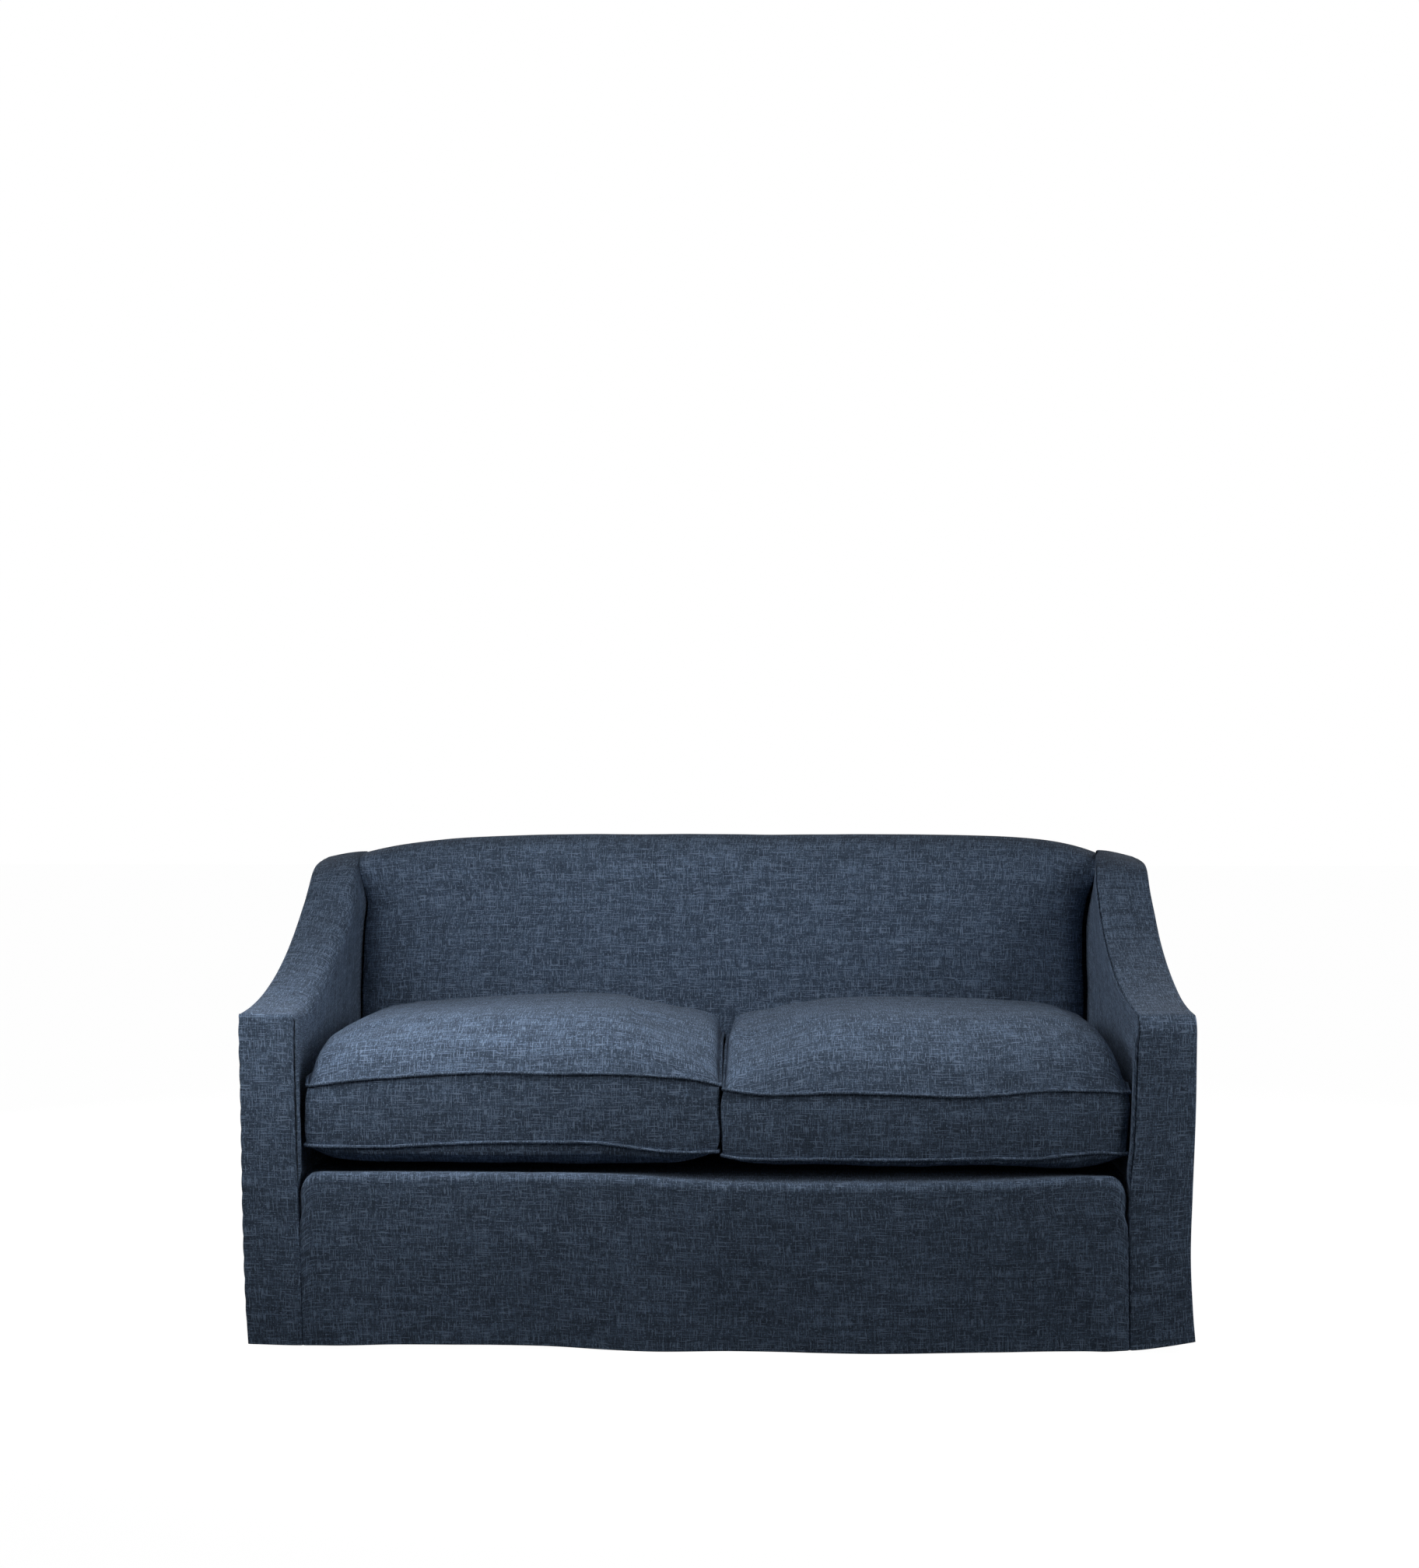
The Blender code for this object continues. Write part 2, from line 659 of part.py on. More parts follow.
class Cushion:
    """Sizes of one boxed cushion, and the places on its seams and faces."""

    def __init__(self, row):
        self.name, left, right, self.draw, self.top, self.top_arch = row[:6]
        self.bottom, self.bottom_arch, self.tilt = row[6:]
        margin = 2 * PIPING + PIPING_CLEAR
        self.middle = ((left + right) / 2, (CUSHION_FRONT + CUSHION_BACK) / 2)
        self.half = ((right - left) / 2 - margin, (CUSHION_BACK - CUSHION_FRONT) / 2 - margin)

    def at_joint(self, a):
        return a > 0 if self.middle[0] < 0 else a < 0

    def outline(self, a, b):
        """Across and depth for a and b from -1 to 1, drawn in between the corners."""
        cut = 1 - CORNER_CUT * abs(a) ** 7 * abs(b) ** 7
        pull = JOINT_PULL if self.at_joint(a) else self.draw
        across = a * cut * (self.half[0] - pull * (1 - b * b))
        depth = b * cut * (self.half[1] - self.draw * (1 - a * a))
        return self.middle[0] + across, self.middle[1] + depth

    def seam_height(self, a, b, upper):
        if upper:
            rise = JOINT_RISE if self.at_joint(a) else 0.0
            rise *= abs(a) ** 6 * ease(b, -1.0, RISE_FULL) * (1 - ease(b, RISE_HOLD, RISE_GONE))
            return self.top + self.top_arch * (1 - a * a) + rise
        return self.bottom + self.bottom_arch * (1 - a * a) - self.tilt * a

    def crown(self, a, b):
        edge = max(1 - abs(a) ** EDGE_SQUARE, 0.0) ** 0.5
        rear = max(1 - abs(b) ** CROWN_SQUARE, 0.0) ** CROWN_ROUND
        return along(CROWNS[self.name], a) * edge * rear

    def underside(self, a, b, depth, low):
        """Height of the bottom: round under the front seam, then sloping gently to the deck."""
        side = (1 - abs(a) ** ARM_SIDE_SQUARE[self.name][a > 0]) ** CROWN_ROUND
        rear = (1 - max(b, 0.0) ** CROWN_SQUARE) ** CROWN_ROUND
        under = min(max(depth - CUSHION_FRONT - 2 * PIPING, 0.0) / LIP_RUN, 1.0)
        lip = blend(low, LIP_HEIGHT, (1 - (1 - under) ** 2) ** 0.5)
        rest = blend(lip, DECK + CUSHION_REST, ease(depth, CUSHION_FRONT, REST_FROM))
        return max(blend(low, rest, side * rear), DECK + CUSHION_REST)

    def place(self, a, b, c):
        """Place on the cushion for a point of a two-metre cube."""
        a, b = sin(a * pi / 2), sin(b * pi / 2)
        across, depth = self.outline(a, b)
        low, high = self.seam_height(a, b, False), self.seam_height(a, b, True)
        if c > 0.99:
            return world(across, depth, high + self.crown(a, b))
        if c < -0.99:
            return world(across, depth, self.underside(a, b, depth, low))
        return world(across, depth, blend(low, high, (c + 1) / 2))


def cube_mesh():
    """A cube cut into columns, rows and layers, two metres a side."""
    mesh = bmesh.new()
    bmesh.ops.create_cube(mesh, size=2.0)
    for axis, count in ((0, CUSHION_COLUMNS), (1, CUSHION_ROWS), (2, BOXING_ROWS)):
        lines = []
        for edge in mesh.edges:
            run = edge.verts[1].co - edge.verts[0].co
            if abs(run[axis]) > 0.5 * run.length and run.length > 1.9:
                lines.append(edge)
        bmesh.ops.subdivide_edges(mesh, edges=lines, cuts=count - 1, use_grid_fill=True)
    return mesh


def make_cushion(cushion):
    """One filled solid: crowned above, fuller below, with its boxing between the seams."""
    mesh = cube_mesh()
    for vertex in mesh.verts:
        vertex.co = cushion.place(*vertex.co)
    bmesh.ops.recalc_face_normals(mesh, faces=mesh.faces)
    data = bpy.data.meshes.new(cushion.name)
    mesh.to_mesh(data)
    mesh.free()
    data.shade_smooth()
    data.set_sharp_from_angle(angle=0.9)
    return add_object(cushion.name, data, "cushion")


def make_piping(cushion, upper):
    """Closed cord of cloth just outside the cushion's seam."""
    loop = [(blend(-1, 1, i / CUSHION_COLUMNS), -1) for i in range(CUSHION_COLUMNS)]
    loop += [(1, blend(-1, 1, i / CUSHION_ROWS)) for i in range(CUSHION_ROWS)]
    loop += [(-a, 1) for a, b in loop[:CUSHION_COLUMNS]]
    loop += [(-1, -b) for a, b in loop[CUSHION_COLUMNS : CUSHION_COLUMNS + CUSHION_ROWS]]
    seam = []
    for a, b in loop:
        a, b = sin(a * pi / 2), sin(b * pi / 2)
        seam.append(cushion.outline(a, b) + (cushion.seam_height(a, b, upper),))
    path = []
    off = PIPING + PIPING_CLEAR
    count = len(seam)
    for i, (across, depth, height) in enumerate(seam):
        turns = []
        for first, second in ((seam[i - 1], seam[i]), (seam[i], seam[(i + 1) % count])):
            run = (second[0] - first[0], second[1] - first[1])
            length = (run[0] ** 2 + run[1] ** 2) ** 0.5
            turns.append((run[1] / length, -run[0] / length))
        mean = [(turns[0][k] + turns[1][k]) / 2 for k in (0, 1)]
        size = mean[0] ** 2 + mean[1] ** 2
        path.append(world(across + off * mean[0] / size, depth + off * mean[1] / size, height))
    name = cushion.name + ("_piping_top" if upper else "_piping_bottom")
    data = bpy.data.curves.new(name, "CURVE")
    data.dimensions = "3D"
    data.bevel_depth = PIPING
    data.bevel_resolution = 1
    spline = data.splines.new("POLY")
    spline.points.add(len(path) - 1)
    for point, spot in zip(spline.points, path):
        point.co = (*spot, 1.0)
    spline.use_cyclic_u = True
    spline.use_smooth = True
    return add_object(name, data, "piping")


clear_scene()
make_inside_back()
make_outside_back()
make_arm_front_left()
make_inside_arm_left()
make_outside_arm(LEFT)
make_arm_band_right()
make_inside_arm_right()
make_outside_arm(RIGHT)
make_seat_deck()
make_front_border()
for sizes in CUSHIONS:
    seat_cushion = Cushion(sizes)
    make_cushion(seat_cushion)
    make_piping(seat_cushion, True)
    make_piping(seat_cushion, False)
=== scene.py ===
"""Loose slub linen slipcover for a small sofa with sloping arms, and its two boxed seat cushions."""

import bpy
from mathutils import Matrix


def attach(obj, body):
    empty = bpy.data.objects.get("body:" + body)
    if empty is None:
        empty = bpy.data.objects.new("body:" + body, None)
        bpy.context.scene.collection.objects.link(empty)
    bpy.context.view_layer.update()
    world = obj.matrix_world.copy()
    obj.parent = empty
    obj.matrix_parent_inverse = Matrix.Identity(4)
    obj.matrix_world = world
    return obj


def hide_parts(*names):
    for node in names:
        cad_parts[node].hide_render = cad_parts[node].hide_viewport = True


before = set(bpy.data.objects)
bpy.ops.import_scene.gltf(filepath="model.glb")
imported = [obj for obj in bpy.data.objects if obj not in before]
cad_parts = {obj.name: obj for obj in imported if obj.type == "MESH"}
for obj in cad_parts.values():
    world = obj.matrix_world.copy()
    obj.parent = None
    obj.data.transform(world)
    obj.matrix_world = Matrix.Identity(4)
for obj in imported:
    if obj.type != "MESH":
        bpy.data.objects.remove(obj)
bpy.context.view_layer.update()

from bisect import bisect_right
from functools import lru_cache
from math import cos, exp, pi, radians, sin, tanh
from operator import itemgetter

import bmesh
import bpy
from mathutils import Vector, noise

# ---- Camera ----
# Five metres off and a little to the right, at eye level a little over the back, and nearly
# square on to the front of the cover.
CAMERA_PLACE = (0.102, -4.95, 1.0)
LOOK_DOWN, LOOK_LEFT = 0.565, 1.475  # degrees
eye = bpy.data.cameras.new("camera")
eye.lens = 61.55
eye.sensor_width = 36.0
eye.clip_end = 80.0
camera = bpy.data.objects.new("camera", eye)
camera.location = CAMERA_PLACE
camera.rotation_euler = (radians(90.0 - LOOK_DOWN), 0.0, radians(LOOK_LEFT))
bpy.context.scene.collection.objects.link(camera)
bpy.context.scene.camera = camera

# ---- Floor and light ----
# A plain white studio floor, soft boxes close above the front and at both sides, and two behind.
# The floor is lit through, as on a white table, so it throws little shade.
bpy.context.scene.view_settings.view_transform = "Standard"
bpy.context.scene.view_settings.look = "None"

FLOOR_SIZE = 20.0  # from its middle to its edges
WHITE = (1.0, 1.0, 1.0, 1.0)


def new_object(name, mesh):
    """Puts a finished bmesh into the scene."""
    data = bpy.data.meshes.new(name)
    mesh.to_mesh(data)
    mesh.free()
    item = bpy.data.objects.new(name, data)
    bpy.context.scene.collection.objects.link(item)
    return item


def plug(socket, value):
    """Links an input of a shader node, or sets it."""
    if isinstance(value, bpy.types.NodeSocket):
        socket.id_data.links.new(value, socket)
    else:
        socket.default_value = value


def feed(node, **values):
    """Links or sets a node's inputs, named with _ for each space."""
    for name, value in values.items():
        plug(node.inputs[name.replace("_", " ")], value)
    return node


floor_mesh = bmesh.new()
bmesh.ops.create_grid(floor_mesh, x_segments=8, y_segments=8, size=FLOOR_SIZE)
floor = new_object("studio_floor", floor_mesh)
floor.visible_diffuse = False
floor.visible_glossy = False
floor_paint = bpy.data.materials.new("studio_floor_white")
floor_paint.use_nodes = True
feed(
    floor_paint.node_tree.nodes["Principled BSDF"],
    Base_Color=(0.10, 0.10, 0.10, 1.0),
    Roughness=1.0,
    Specular_IOR_Level=0.0,
    Emission_Color=WHITE,
    Emission_Strength=0.988,
)
floor.data.materials.append(floor_paint)

world = bpy.data.worlds.new("studio")
world.use_nodes = True
bpy.context.scene.world = world
sky = world.node_tree
backdrop = feed(sky.nodes["Background"], Color=WHITE, Strength=1.0)
fill = feed(sky.nodes.new("ShaderNodeBackground"), Color=(0.95, 0.98, 1.0, 1.0), Strength=0.018)
seen = sky.nodes.new("ShaderNodeLightPath")
either = feed(sky.nodes.new("ShaderNodeMixShader"), Fac=seen.outputs["Is Camera Ray"])
plug(either.inputs[1], fill.outputs["Background"])
plug(either.inputs[2], backdrop.outputs["Background"])
feed(sky.nodes["World Output"], Surface=either.outputs["Shader"])

#   name, place, aimed at, size, beam in degrees, watts
SOFT_BOXES = (
    ("left_front", (-0.9, -0.9, 1.0), (-0.36, -0.1, 0.6), 0.6, 180, 3.35),
    ("middle", (0.1, -0.6, 1.15), (0.04, -0.1, 0.6), 0.5, 180, 1.55),
    ("overhead", (-0.3, -0.5, 1.4), (-0.12, -0.1, 0.6), 0.6, 180, 0.56),
    ("over_left_seat", (-0.9, -0.5, 1.5), (-0.5, -0.4, 0.5), 0.5, 40, 0.48),
    ("over_right_seat", (0.6, -0.5, 1.5), (0.36, -0.45, 0.5), 0.6, 75, 0.27),
    ("low_front", (0.0, -1.6, 0.5), (0.0, 0.0, 0.5), 0.8, 180, 0.33),
    ("left", (-1.7, -0.9, 0.9), (0.0, -0.2, 0.5), 0.9, 180, 0.6),
    ("right", (1.7, -0.9, 0.9), (0.0, -0.2, 0.5), 0.9, 180, 6.3),
    ("to_right_arm", (-1.6, -0.20, 1.70), (0.70, 0.0, 0.60), 0.9, 60, 1.22),
    ("to_left_arm", (1.3, -0.6, 1.2), (-0.72, -0.3, 0.5), 0.9, 30, 0.35),
    ("rear_left", (-2.4, 1.9, 1.0), (-0.7, 0.3, 0.4), 1.2, 180, 17.0),
    ("rear_right", (2.4, 1.9, 1.2), (0.7, 0.3, 0.4), 1.2, 180, 17.0),
)
for box_name, place, target, size, beam, watts in SOFT_BOXES:
    lamp = bpy.data.lights.new("soft_box_" + box_name, "AREA")
    lamp.shape = "SQUARE"
    lamp.size = size
    lamp.spread = radians(beam)
    lamp.energy = watts
    soft_box = bpy.data.objects.new(lamp.name, lamp)
    soft_box.location = place
    soft_box.rotation_euler = (Vector(target) - Vector(place)).to_track_quat("-Z", "Y").to_euler()
    soft_box.visible_camera = False
    bpy.context.scene.collection.objects.link(soft_box)

# ---- Inside back ----
# One width of dark blue slub linen, drawn tight over the padded back and its rounded top, and
# sewn down in the corners beside the arms, where it turns in to a deep crease.
DEPTH = 0.900  # front of the arms to the outside of the back
CLOTH = 0.0014  # thickness of the linen
UNDER = 0.0020  # how far a panel that passes behind another one lies under its face
LEFT, RIGHT = -1, 1
#   height, distance of an arm's inner edge from the middle of the cover
INNER_EDGE = {
    LEFT: (
        (0.00, 0.701), (0.13, 0.704), (0.23, 0.707), (0.30, 0.711), (0.50, 0.7160),
        (0.60, 0.7150), (0.67, 0.7115), (0.714, 0.7060), (0.75, 0.7095), (0.785, 0.7150),
        (0.82, 0.7165),
    ),
    RIGHT: (
        (0.00, 0.690), (0.22, 0.689), (0.28, 0.691), (0.35, 0.698), (0.44, 0.7015),
        (0.55, 0.7045), (0.60, 0.7025), (0.82, 0.7020),
    ),
}
#   depth, how far the inner edge of the arm's top goes out towards the back
ARM_FLARE = {
    LEFT: ((0.74, 0.0), (0.86, 0.006)),
    RIGHT: ((0.60, 0.0), (0.64, 0.005), (0.70, 0.012), (0.80, 0.028), (0.86, 0.034)),
}
FLARE_FROM, FLARE_TO = 0.66, 0.80  # heights over which it does so
#   depth and height beside the arms, depth and height in the middle
BACK_SECTION = (
    (0.700, 0.285, 0.690, 0.285),
    (0.703, 0.430, 0.688, 0.430),
    (0.710, 0.580, 0.690, 0.580),
    (0.714, 0.700, 0.699, 0.700),
    (0.707, 0.760, 0.708, 0.765),
    (0.704, 0.787, 0.719, 0.802),
    (0.716, 0.803, 0.742, 0.831),
    (0.760, 0.810, 0.780, 0.847),
    (0.820, 0.812, 0.826, 0.846),
    (0.866, 0.808, 0.868, 0.836),
    (0.888, 0.797, 0.889, 0.819),
    (0.897, 0.787, 0.897, 0.803),
    (0.900, 0.774, 0.900, 0.786),
)
BACK_FULLNESS = (5.3, 8.0)  # how square the arch of the back's top is, on the left and on the right
BACK_WIDTH, BACK_LENGTH = 1.420, 0.745  # cut size between the seams
#   how far the back turns in beside an arm, and the length up the cloth at which that has died out
BACK_CREASE = {LEFT: (0.023, 0.51), RIGHT: (0.034, 0.52)}
CREASE_WIDTH, CREASE_FADE, CREASE_END = 0.055, 0.08, 0.0008
BACK_GAP = 0.0008  # room between its ends and the arms
LINEN = (0.0705, 0.1030, 0.1575)  # mid tone of the cloth


def along(rows, at):
    """Value at a place on a smooth curve through (place, value) rows, level past its ends."""
    last = len(rows) - 1
    if at <= rows[0][0]:
        return rows[0][1]
    if at >= rows[last][0]:
        return rows[last][1]
    near = 0
    while rows[near + 1][0] < at:
        near += 1

    def slope(i):
        before, after = rows[max(i - 1, 0)], rows[min(i + 1, last)]
        return (after[1] - before[1]) / (after[0] - before[0])

    (start, low), (end, high) = rows[near][:2], rows[near + 1][:2]
    span = end - start
    t = (at - start) / span
    hold = (1 + 2 * t) * (1 - t) ** 2 * low + t * t * (3 - 2 * t) * high
    turn = t * (1 - t) ** 2 * slope(near) - t * t * (1 - t) * slope(near + 1)
    return hold + span * turn


def ease(value, start, end):
    """0 before start, 1 after end, smooth between."""
    t = min(max((value - start) / (end - start), 0.0), 1.0)
    return t * t * (3 - 2 * t)


def blend(low, high, share):
    return low + (high - low) * share


def apart(one, other):
    return sum((p - q) ** 2 for p, q in zip(one, other)) ** 0.5


def lengths(spots):
    """Length along a line of places, up to each of them."""
    runs = [0.0]
    for before, after in zip(spots, spots[1:]):
        runs.append(runs[-1] + apart(before, after))
    return runs


def spot_at(across, depth, height):
    return Vector((across, depth - DEPTH / 2, height))


def inner_edge(side, depth, height):
    flare = along(ARM_FLARE[side], depth) * ease(height, FLARE_FROM, FLARE_TO)
    return side * (along(INNER_EDGE[side], height) + flare)


def slack(a, b, size, depth, seed):
    """Soft unevenness of loose cloth, a few centimetres across."""
    coarse = noise.noise((a / size, b / size, seed))
    fine = noise.noise((2.3 * a / size, 2.1 * b / size, seed + 9.0))
    return depth * (coarse + 0.45 * fine)


def gathers(run, away, pitch, depth, reach, seed, still=0.0):
    """Small uneven puckers that a seam draws up, dying out away from it, and still beside it."""
    if away > 4 * reach:
        return 0.0
    pucker = depth * exp(-away / reach) * noise.noise((run / pitch, seed, away / (2.5 * pitch)))
    return pucker * ease(away, 0.0, still) if still else pucker


def creases(rows, a, b):
    """Soft ridges and troughs, each listed from one point of the cloth to another."""
    total = 0.0
    for a0, b0, a1, b1, half, height in rows:
        run = apart((a0, b0), (a1, b1))
        way = ((a1 - a0) / run, (b1 - b0) / run)
        on = (a - a0) * way[0] + (b - b0) * way[1]
        off = abs((a - a0) * way[1] - (b - b0) * way[0])
        if off < half and -half < on < run + half:
            ends = ease(on, -half, 0.25 * run) * ease(run - on, -half, 0.25 * run)
            total += height * ends * (1 - (off / half) ** 2) ** 2
    return total


def marks(length, cell):
    """Places along a cut edge: close together beside the seams, and one cell apart between them."""
    close = [0.0, 0.0010, 0.0022, 0.0037, 0.0056, 0.0080]
    inner = length - 2 * close[-1]
    count = max(round(inner / cell), 1)
    between = [close[-1] + inner * i / count for i in range(1, count)]
    return close + between + [length - place for place in reversed(close)]


VECTOR_MIX, COLOUR_MIX = (4, 5, 1), (6, 7, 2)  # sockets A, B and Result of a Mix node


def slub_linen(name, colour, turn=0.0):
    """Matt linen with thick and thin threads both ways, laid on a piece's own weave map in metres."""
    material = bpy.data.materials.new(name)
    material.use_nodes = True
    nodes = material.node_tree.nodes
    weave = nodes.new("ShaderNodeUVMap")
    weave.uv_map = "weave"

    def clouds(place, scale, detail):
        made = feed(nodes.new("ShaderNodeTexNoise"), Vector=place, Scale=scale, Detail=detail)
        made.noise_dimensions = "2D"
        return made

    def mix(kind, sockets, factor, first, second):
        made = feed(nodes.new("ShaderNodeMix"), Factor=factor)
        made.data_type = kind
        plug(made.inputs[sockets[0]], first)
        plug(made.inputs[sockets[1]], second)
        return made.outputs[sockets[2]]

    wander = clouds(weave.outputs["UV"], 16.0, 1.0)
    wavy = mix("VECTOR", VECTOR_MIX, 0.0040, weave.outputs["UV"], wander.outputs["Color"])

    def threads(across, up, detail, shift):
        """Soft streaks, so many to the metre across and up, on a part of the pattern of their own."""
        place = feed(
            nodes.new("ShaderNodeMapping"),
            Rotation=(0.0, 0.0, turn),
            Location=(shift, 1.7 * shift, 0.0),
            Scale=(across, up, 1.0),
            Vector=wavy,
        )
        return clouds(place.outputs["Vector"], 1.0, detail).outputs["Fac"]

    def between(value, low, high, bottom=0.0, top=1.0):
        made = nodes.new("ShaderNodeMapRange")
        made.interpolation_type = "SMOOTHSTEP"
        feed(made, Value=value, From_Min=low, From_Max=high, To_Min=bottom, To_Max=top)
        return made.outputs["Result"]

    def reckon(how, first, second):
        made = nodes.new("ShaderNodeMath")
        made.operation = how
        plug(made.inputs[0], first)
        plug(made.inputs[1], second)
        return made.outputs[0]

    grain = threads(430.0, 410.0, 0.0, 3.1)
    weft = threads(75.0, 640.0, 0.0, 7.7)
    warp = threads(640.0, 80.0, 0.0, 1.3)
    bars = threads(7.0, 300.0, 1.0, 5.9)
    stripes = threads(520.0, 17.0, 0.0, 8.3)
    dye = threads(16.0, 38.0, 2.0, 9.4)
    layers = ((grain, 0.50), (weft, 0.42), (warp, 0.45), (bars, 0.50), (stripes, 0.45), (dye, 0.45))
    tone = None
    for layer, share in layers:
        part = reckon("MULTIPLY", reckon("SUBTRACT", layer, 0.5), share)
        tone = part if tone is None else reckon("ADD", tone, part)
    tone = reckon("ADD", tone, 0.5)
    weft_slubs = between(threads(30.0, 560.0, 0.0, 2.2), 0.70, 0.80)
    warp_slubs = between(threads(560.0, 48.0, 0.0, 4.4), 0.69, 0.79)
    nubs = between(threads(300.0, 260.0, 0.0, 6.6), 0.74, 0.80)
    slubs = reckon("MAXIMUM", reckon("MAXIMUM", weft_slubs, warp_slubs), nubs)
    shades = feed(nodes.new("ShaderNodeValToRGB"), Fac=tone)
    stops = ((0.0, 0.52), (0.25, 0.70), (0.5, 1.0), (0.75, 1.75), (1.0, 3.2))
    while len(shades.color_ramp.elements) < len(stops):
        shades.color_ramp.elements.new(0.5)
    for element, (position, strength) in zip(shades.color_ramp.elements, stops):
        element.position = position
        element.color = (*(strength * c for c in colour), 1.0)
    pale = (*(3.0 * c + 0.05 for c in colour), 1.0)
    slubbed = reckon("MULTIPLY", slubs, 0.75)
    raised = reckon("ADD", reckon("ADD", grain, weft), reckon("ADD", warp, slubs))
    bump = feed(nodes.new("ShaderNodeBump"), Strength=0.35, Distance=0.0006, Height=raised)
    feed(
        nodes["Principled BSDF"],
        Base_Color=mix("RGBA", COLOUR_MIX, slubbed, shades.outputs["Color"], pale),
        Normal=bump.outputs["Normal"],
        Roughness=between(tone, 0.0, 1.0, 0.92, 0.80),
        Specular_IOR_Level=0.20,
        Sheen_Weight=0.06,
        Sheen_Roughness=0.55,
        Sheen_Tint=(0.78, 0.86, 1.0, 1.0),
    )
    return material


cover_linen = slub_linen("indigo_slub_linen", LINEN)


def cut_panel(name, size, cell, place, relief, seams, shift, grain=None, keep=None):
    """Cuts a panel as a fine grid, lays it in place, adds its unevenness and turns its seams in.

    cell is the width and height of the grid's cells. seams gives, for a side, the way its edge
    turns (None: straight into the cloth), how far, and the width over which it turns. shift is
    where on the bolt the panel is cut. grain gives the place on its flat cloth where that isn't
    the place on the grid, and keep says which places are kept."""
    across, up = marks(size[0], cell[0]), marks(size[1], cell[1])
    columns, rows = len(across) - 1, len(up) - 1
    width, height = size
    mesh = bmesh.new()
    bmesh.ops.create_grid(mesh, x_segments=columns, y_segments=rows, size=1.0)
    mesh.verts.ensure_lookup_table()
    spots = []
    for vertex in mesh.verts:
        column, row = vertex.index % (columns + 1), vertex.index // (columns + 1)
        spots.append((across[column], up[row]))
        vertex.co = place(across[column], up[row])
    layer = mesh.loops.layers.uv.new("weave")
    for face in mesh.faces:
        for loop in face.loops:
            a, b = grain(*spots[loop.vert.index]) if grain else spots[loop.vert.index]
            loop[layer].uv = (a + shift[0], b + shift[1])
    mesh.normal_update()
    for vertex in mesh.verts:
        a, b = spots[vertex.index]
        offset = vertex.normal * relief(a, b)
        sides = (("left", a, b), ("right", width - a, b), ("low", b, a), ("high", height - b, a))
        for side, away, run in sides:
            if side in seams:
                lean, depth, reach = seams[side]
                if away < reach:
                    deep = depth(run) if callable(depth) else depth
                    inward = -vertex.normal if lean is None else Vector(lean)
                    offset += inward * deep * (1 - away / reach) ** 2
        vertex.co = vertex.co + offset
    if keep:
        spare = [vertex for vertex in mesh.verts if not keep(*spots[vertex.index])]
        bmesh.ops.delete(mesh, geom=spare, context="VERTS")
    item = new_object(name, mesh)
    item.data.shade_smooth()
    item.data.materials.append(cover_linen)
    body = item.modifiers.new("cloth", "SOLIDIFY")
    body.thickness = CLOTH
    body.offset = -1.0
    return item


@lru_cache(maxsize=None)
def back_line(share):
    """Section of the back at a share across: its length, and depth and height along it."""
    arch = abs(share) ** BACK_FULLNESS[share > 0]
    spots = [(blend(row[2], row[0], arch), blend(row[3], row[1], arch)) for row in BACK_SECTION]
    runs = lengths(spots)
    depths, heights = ([(run, spot[i]) for run, spot in zip(runs, spots)] for i in (0, 1))
    return runs[-1], depths, heights


def back_place(a, b):
    run, depths, heights = back_line(2 * a / BACK_WIDTH - 1)
    depth, height = along(depths, b / BACK_LENGTH * run), along(heights, b / BACK_LENGTH * run)
    low = inner_edge(LEFT, depth, height) + BACK_GAP
    high = inner_edge(RIGHT, depth, height) - BACK_GAP
    return spot_at(blend(low, high, a / BACK_WIDTH), depth, height)


def back_relief(a, b):
    beside = min(a, BACK_WIDTH - a)
    loose = slack(a, b, 0.19, 0.0013, 2.0)
    drawn = gathers(b, beside, 0.045, 0.0020, 0.035, 4.0)
    behind = gathers(a, BACK_LENGTH - b, 0.06, 0.0012, 0.020, 5.0, still=0.01)
    return (loose + drawn) * ease(beside, 0.0, 0.03) + behind


def back_crease(side):
    depth, top = BACK_CREASE[side]
    return lambda b: blend(depth, CREASE_END, ease(b, top - CREASE_FADE, top))


back = cut_panel(
    "tight_inside_back",
    (BACK_WIDTH, BACK_LENGTH),
    (0.0075, 0.0075),
    back_place,
    back_relief,
    {
        "left": (None, back_crease(LEFT), CREASE_WIDTH),
        "right": (None, back_crease(RIGHT), CREASE_WIDTH),
        "high": (None, 0.0010, 0.006),
    },
    (2.0, 1.0),
)
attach(back, "root")
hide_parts("inside_back")

# ---- Outside back ----
# One loose width that hangs from the seam behind the top to the floor, seamed at the rear
# corners to the arms' outsides. It falls in shallow upright folds, and its hem hangs just clear.
#   height, distance of an arm's outer edge from the middle of the cover
OUTER_EDGE = {
    LEFT: (
        (0.00, 0.794), (0.08, 0.7990), (0.22, 0.8035), (0.40, 0.8065), (0.56, 0.8095),
        (0.61, 0.8050), (0.70, 0.8030), (0.735, 0.8005), (0.765, 0.8005), (0.79, 0.8030),
        (0.81, 0.8055),
    ),
    RIGHT: (
        (0.00, 0.8005), (0.05, 0.7965), (0.15, 0.7925), (0.26, 0.7955), (0.40, 0.8005),
        (0.56, 0.8030), (0.60, 0.8060), (0.70, 0.8070), (0.745, 0.8045), (0.775, 0.8050),
        (0.80, 0.8080), (0.82, 0.8080),
    ),
}
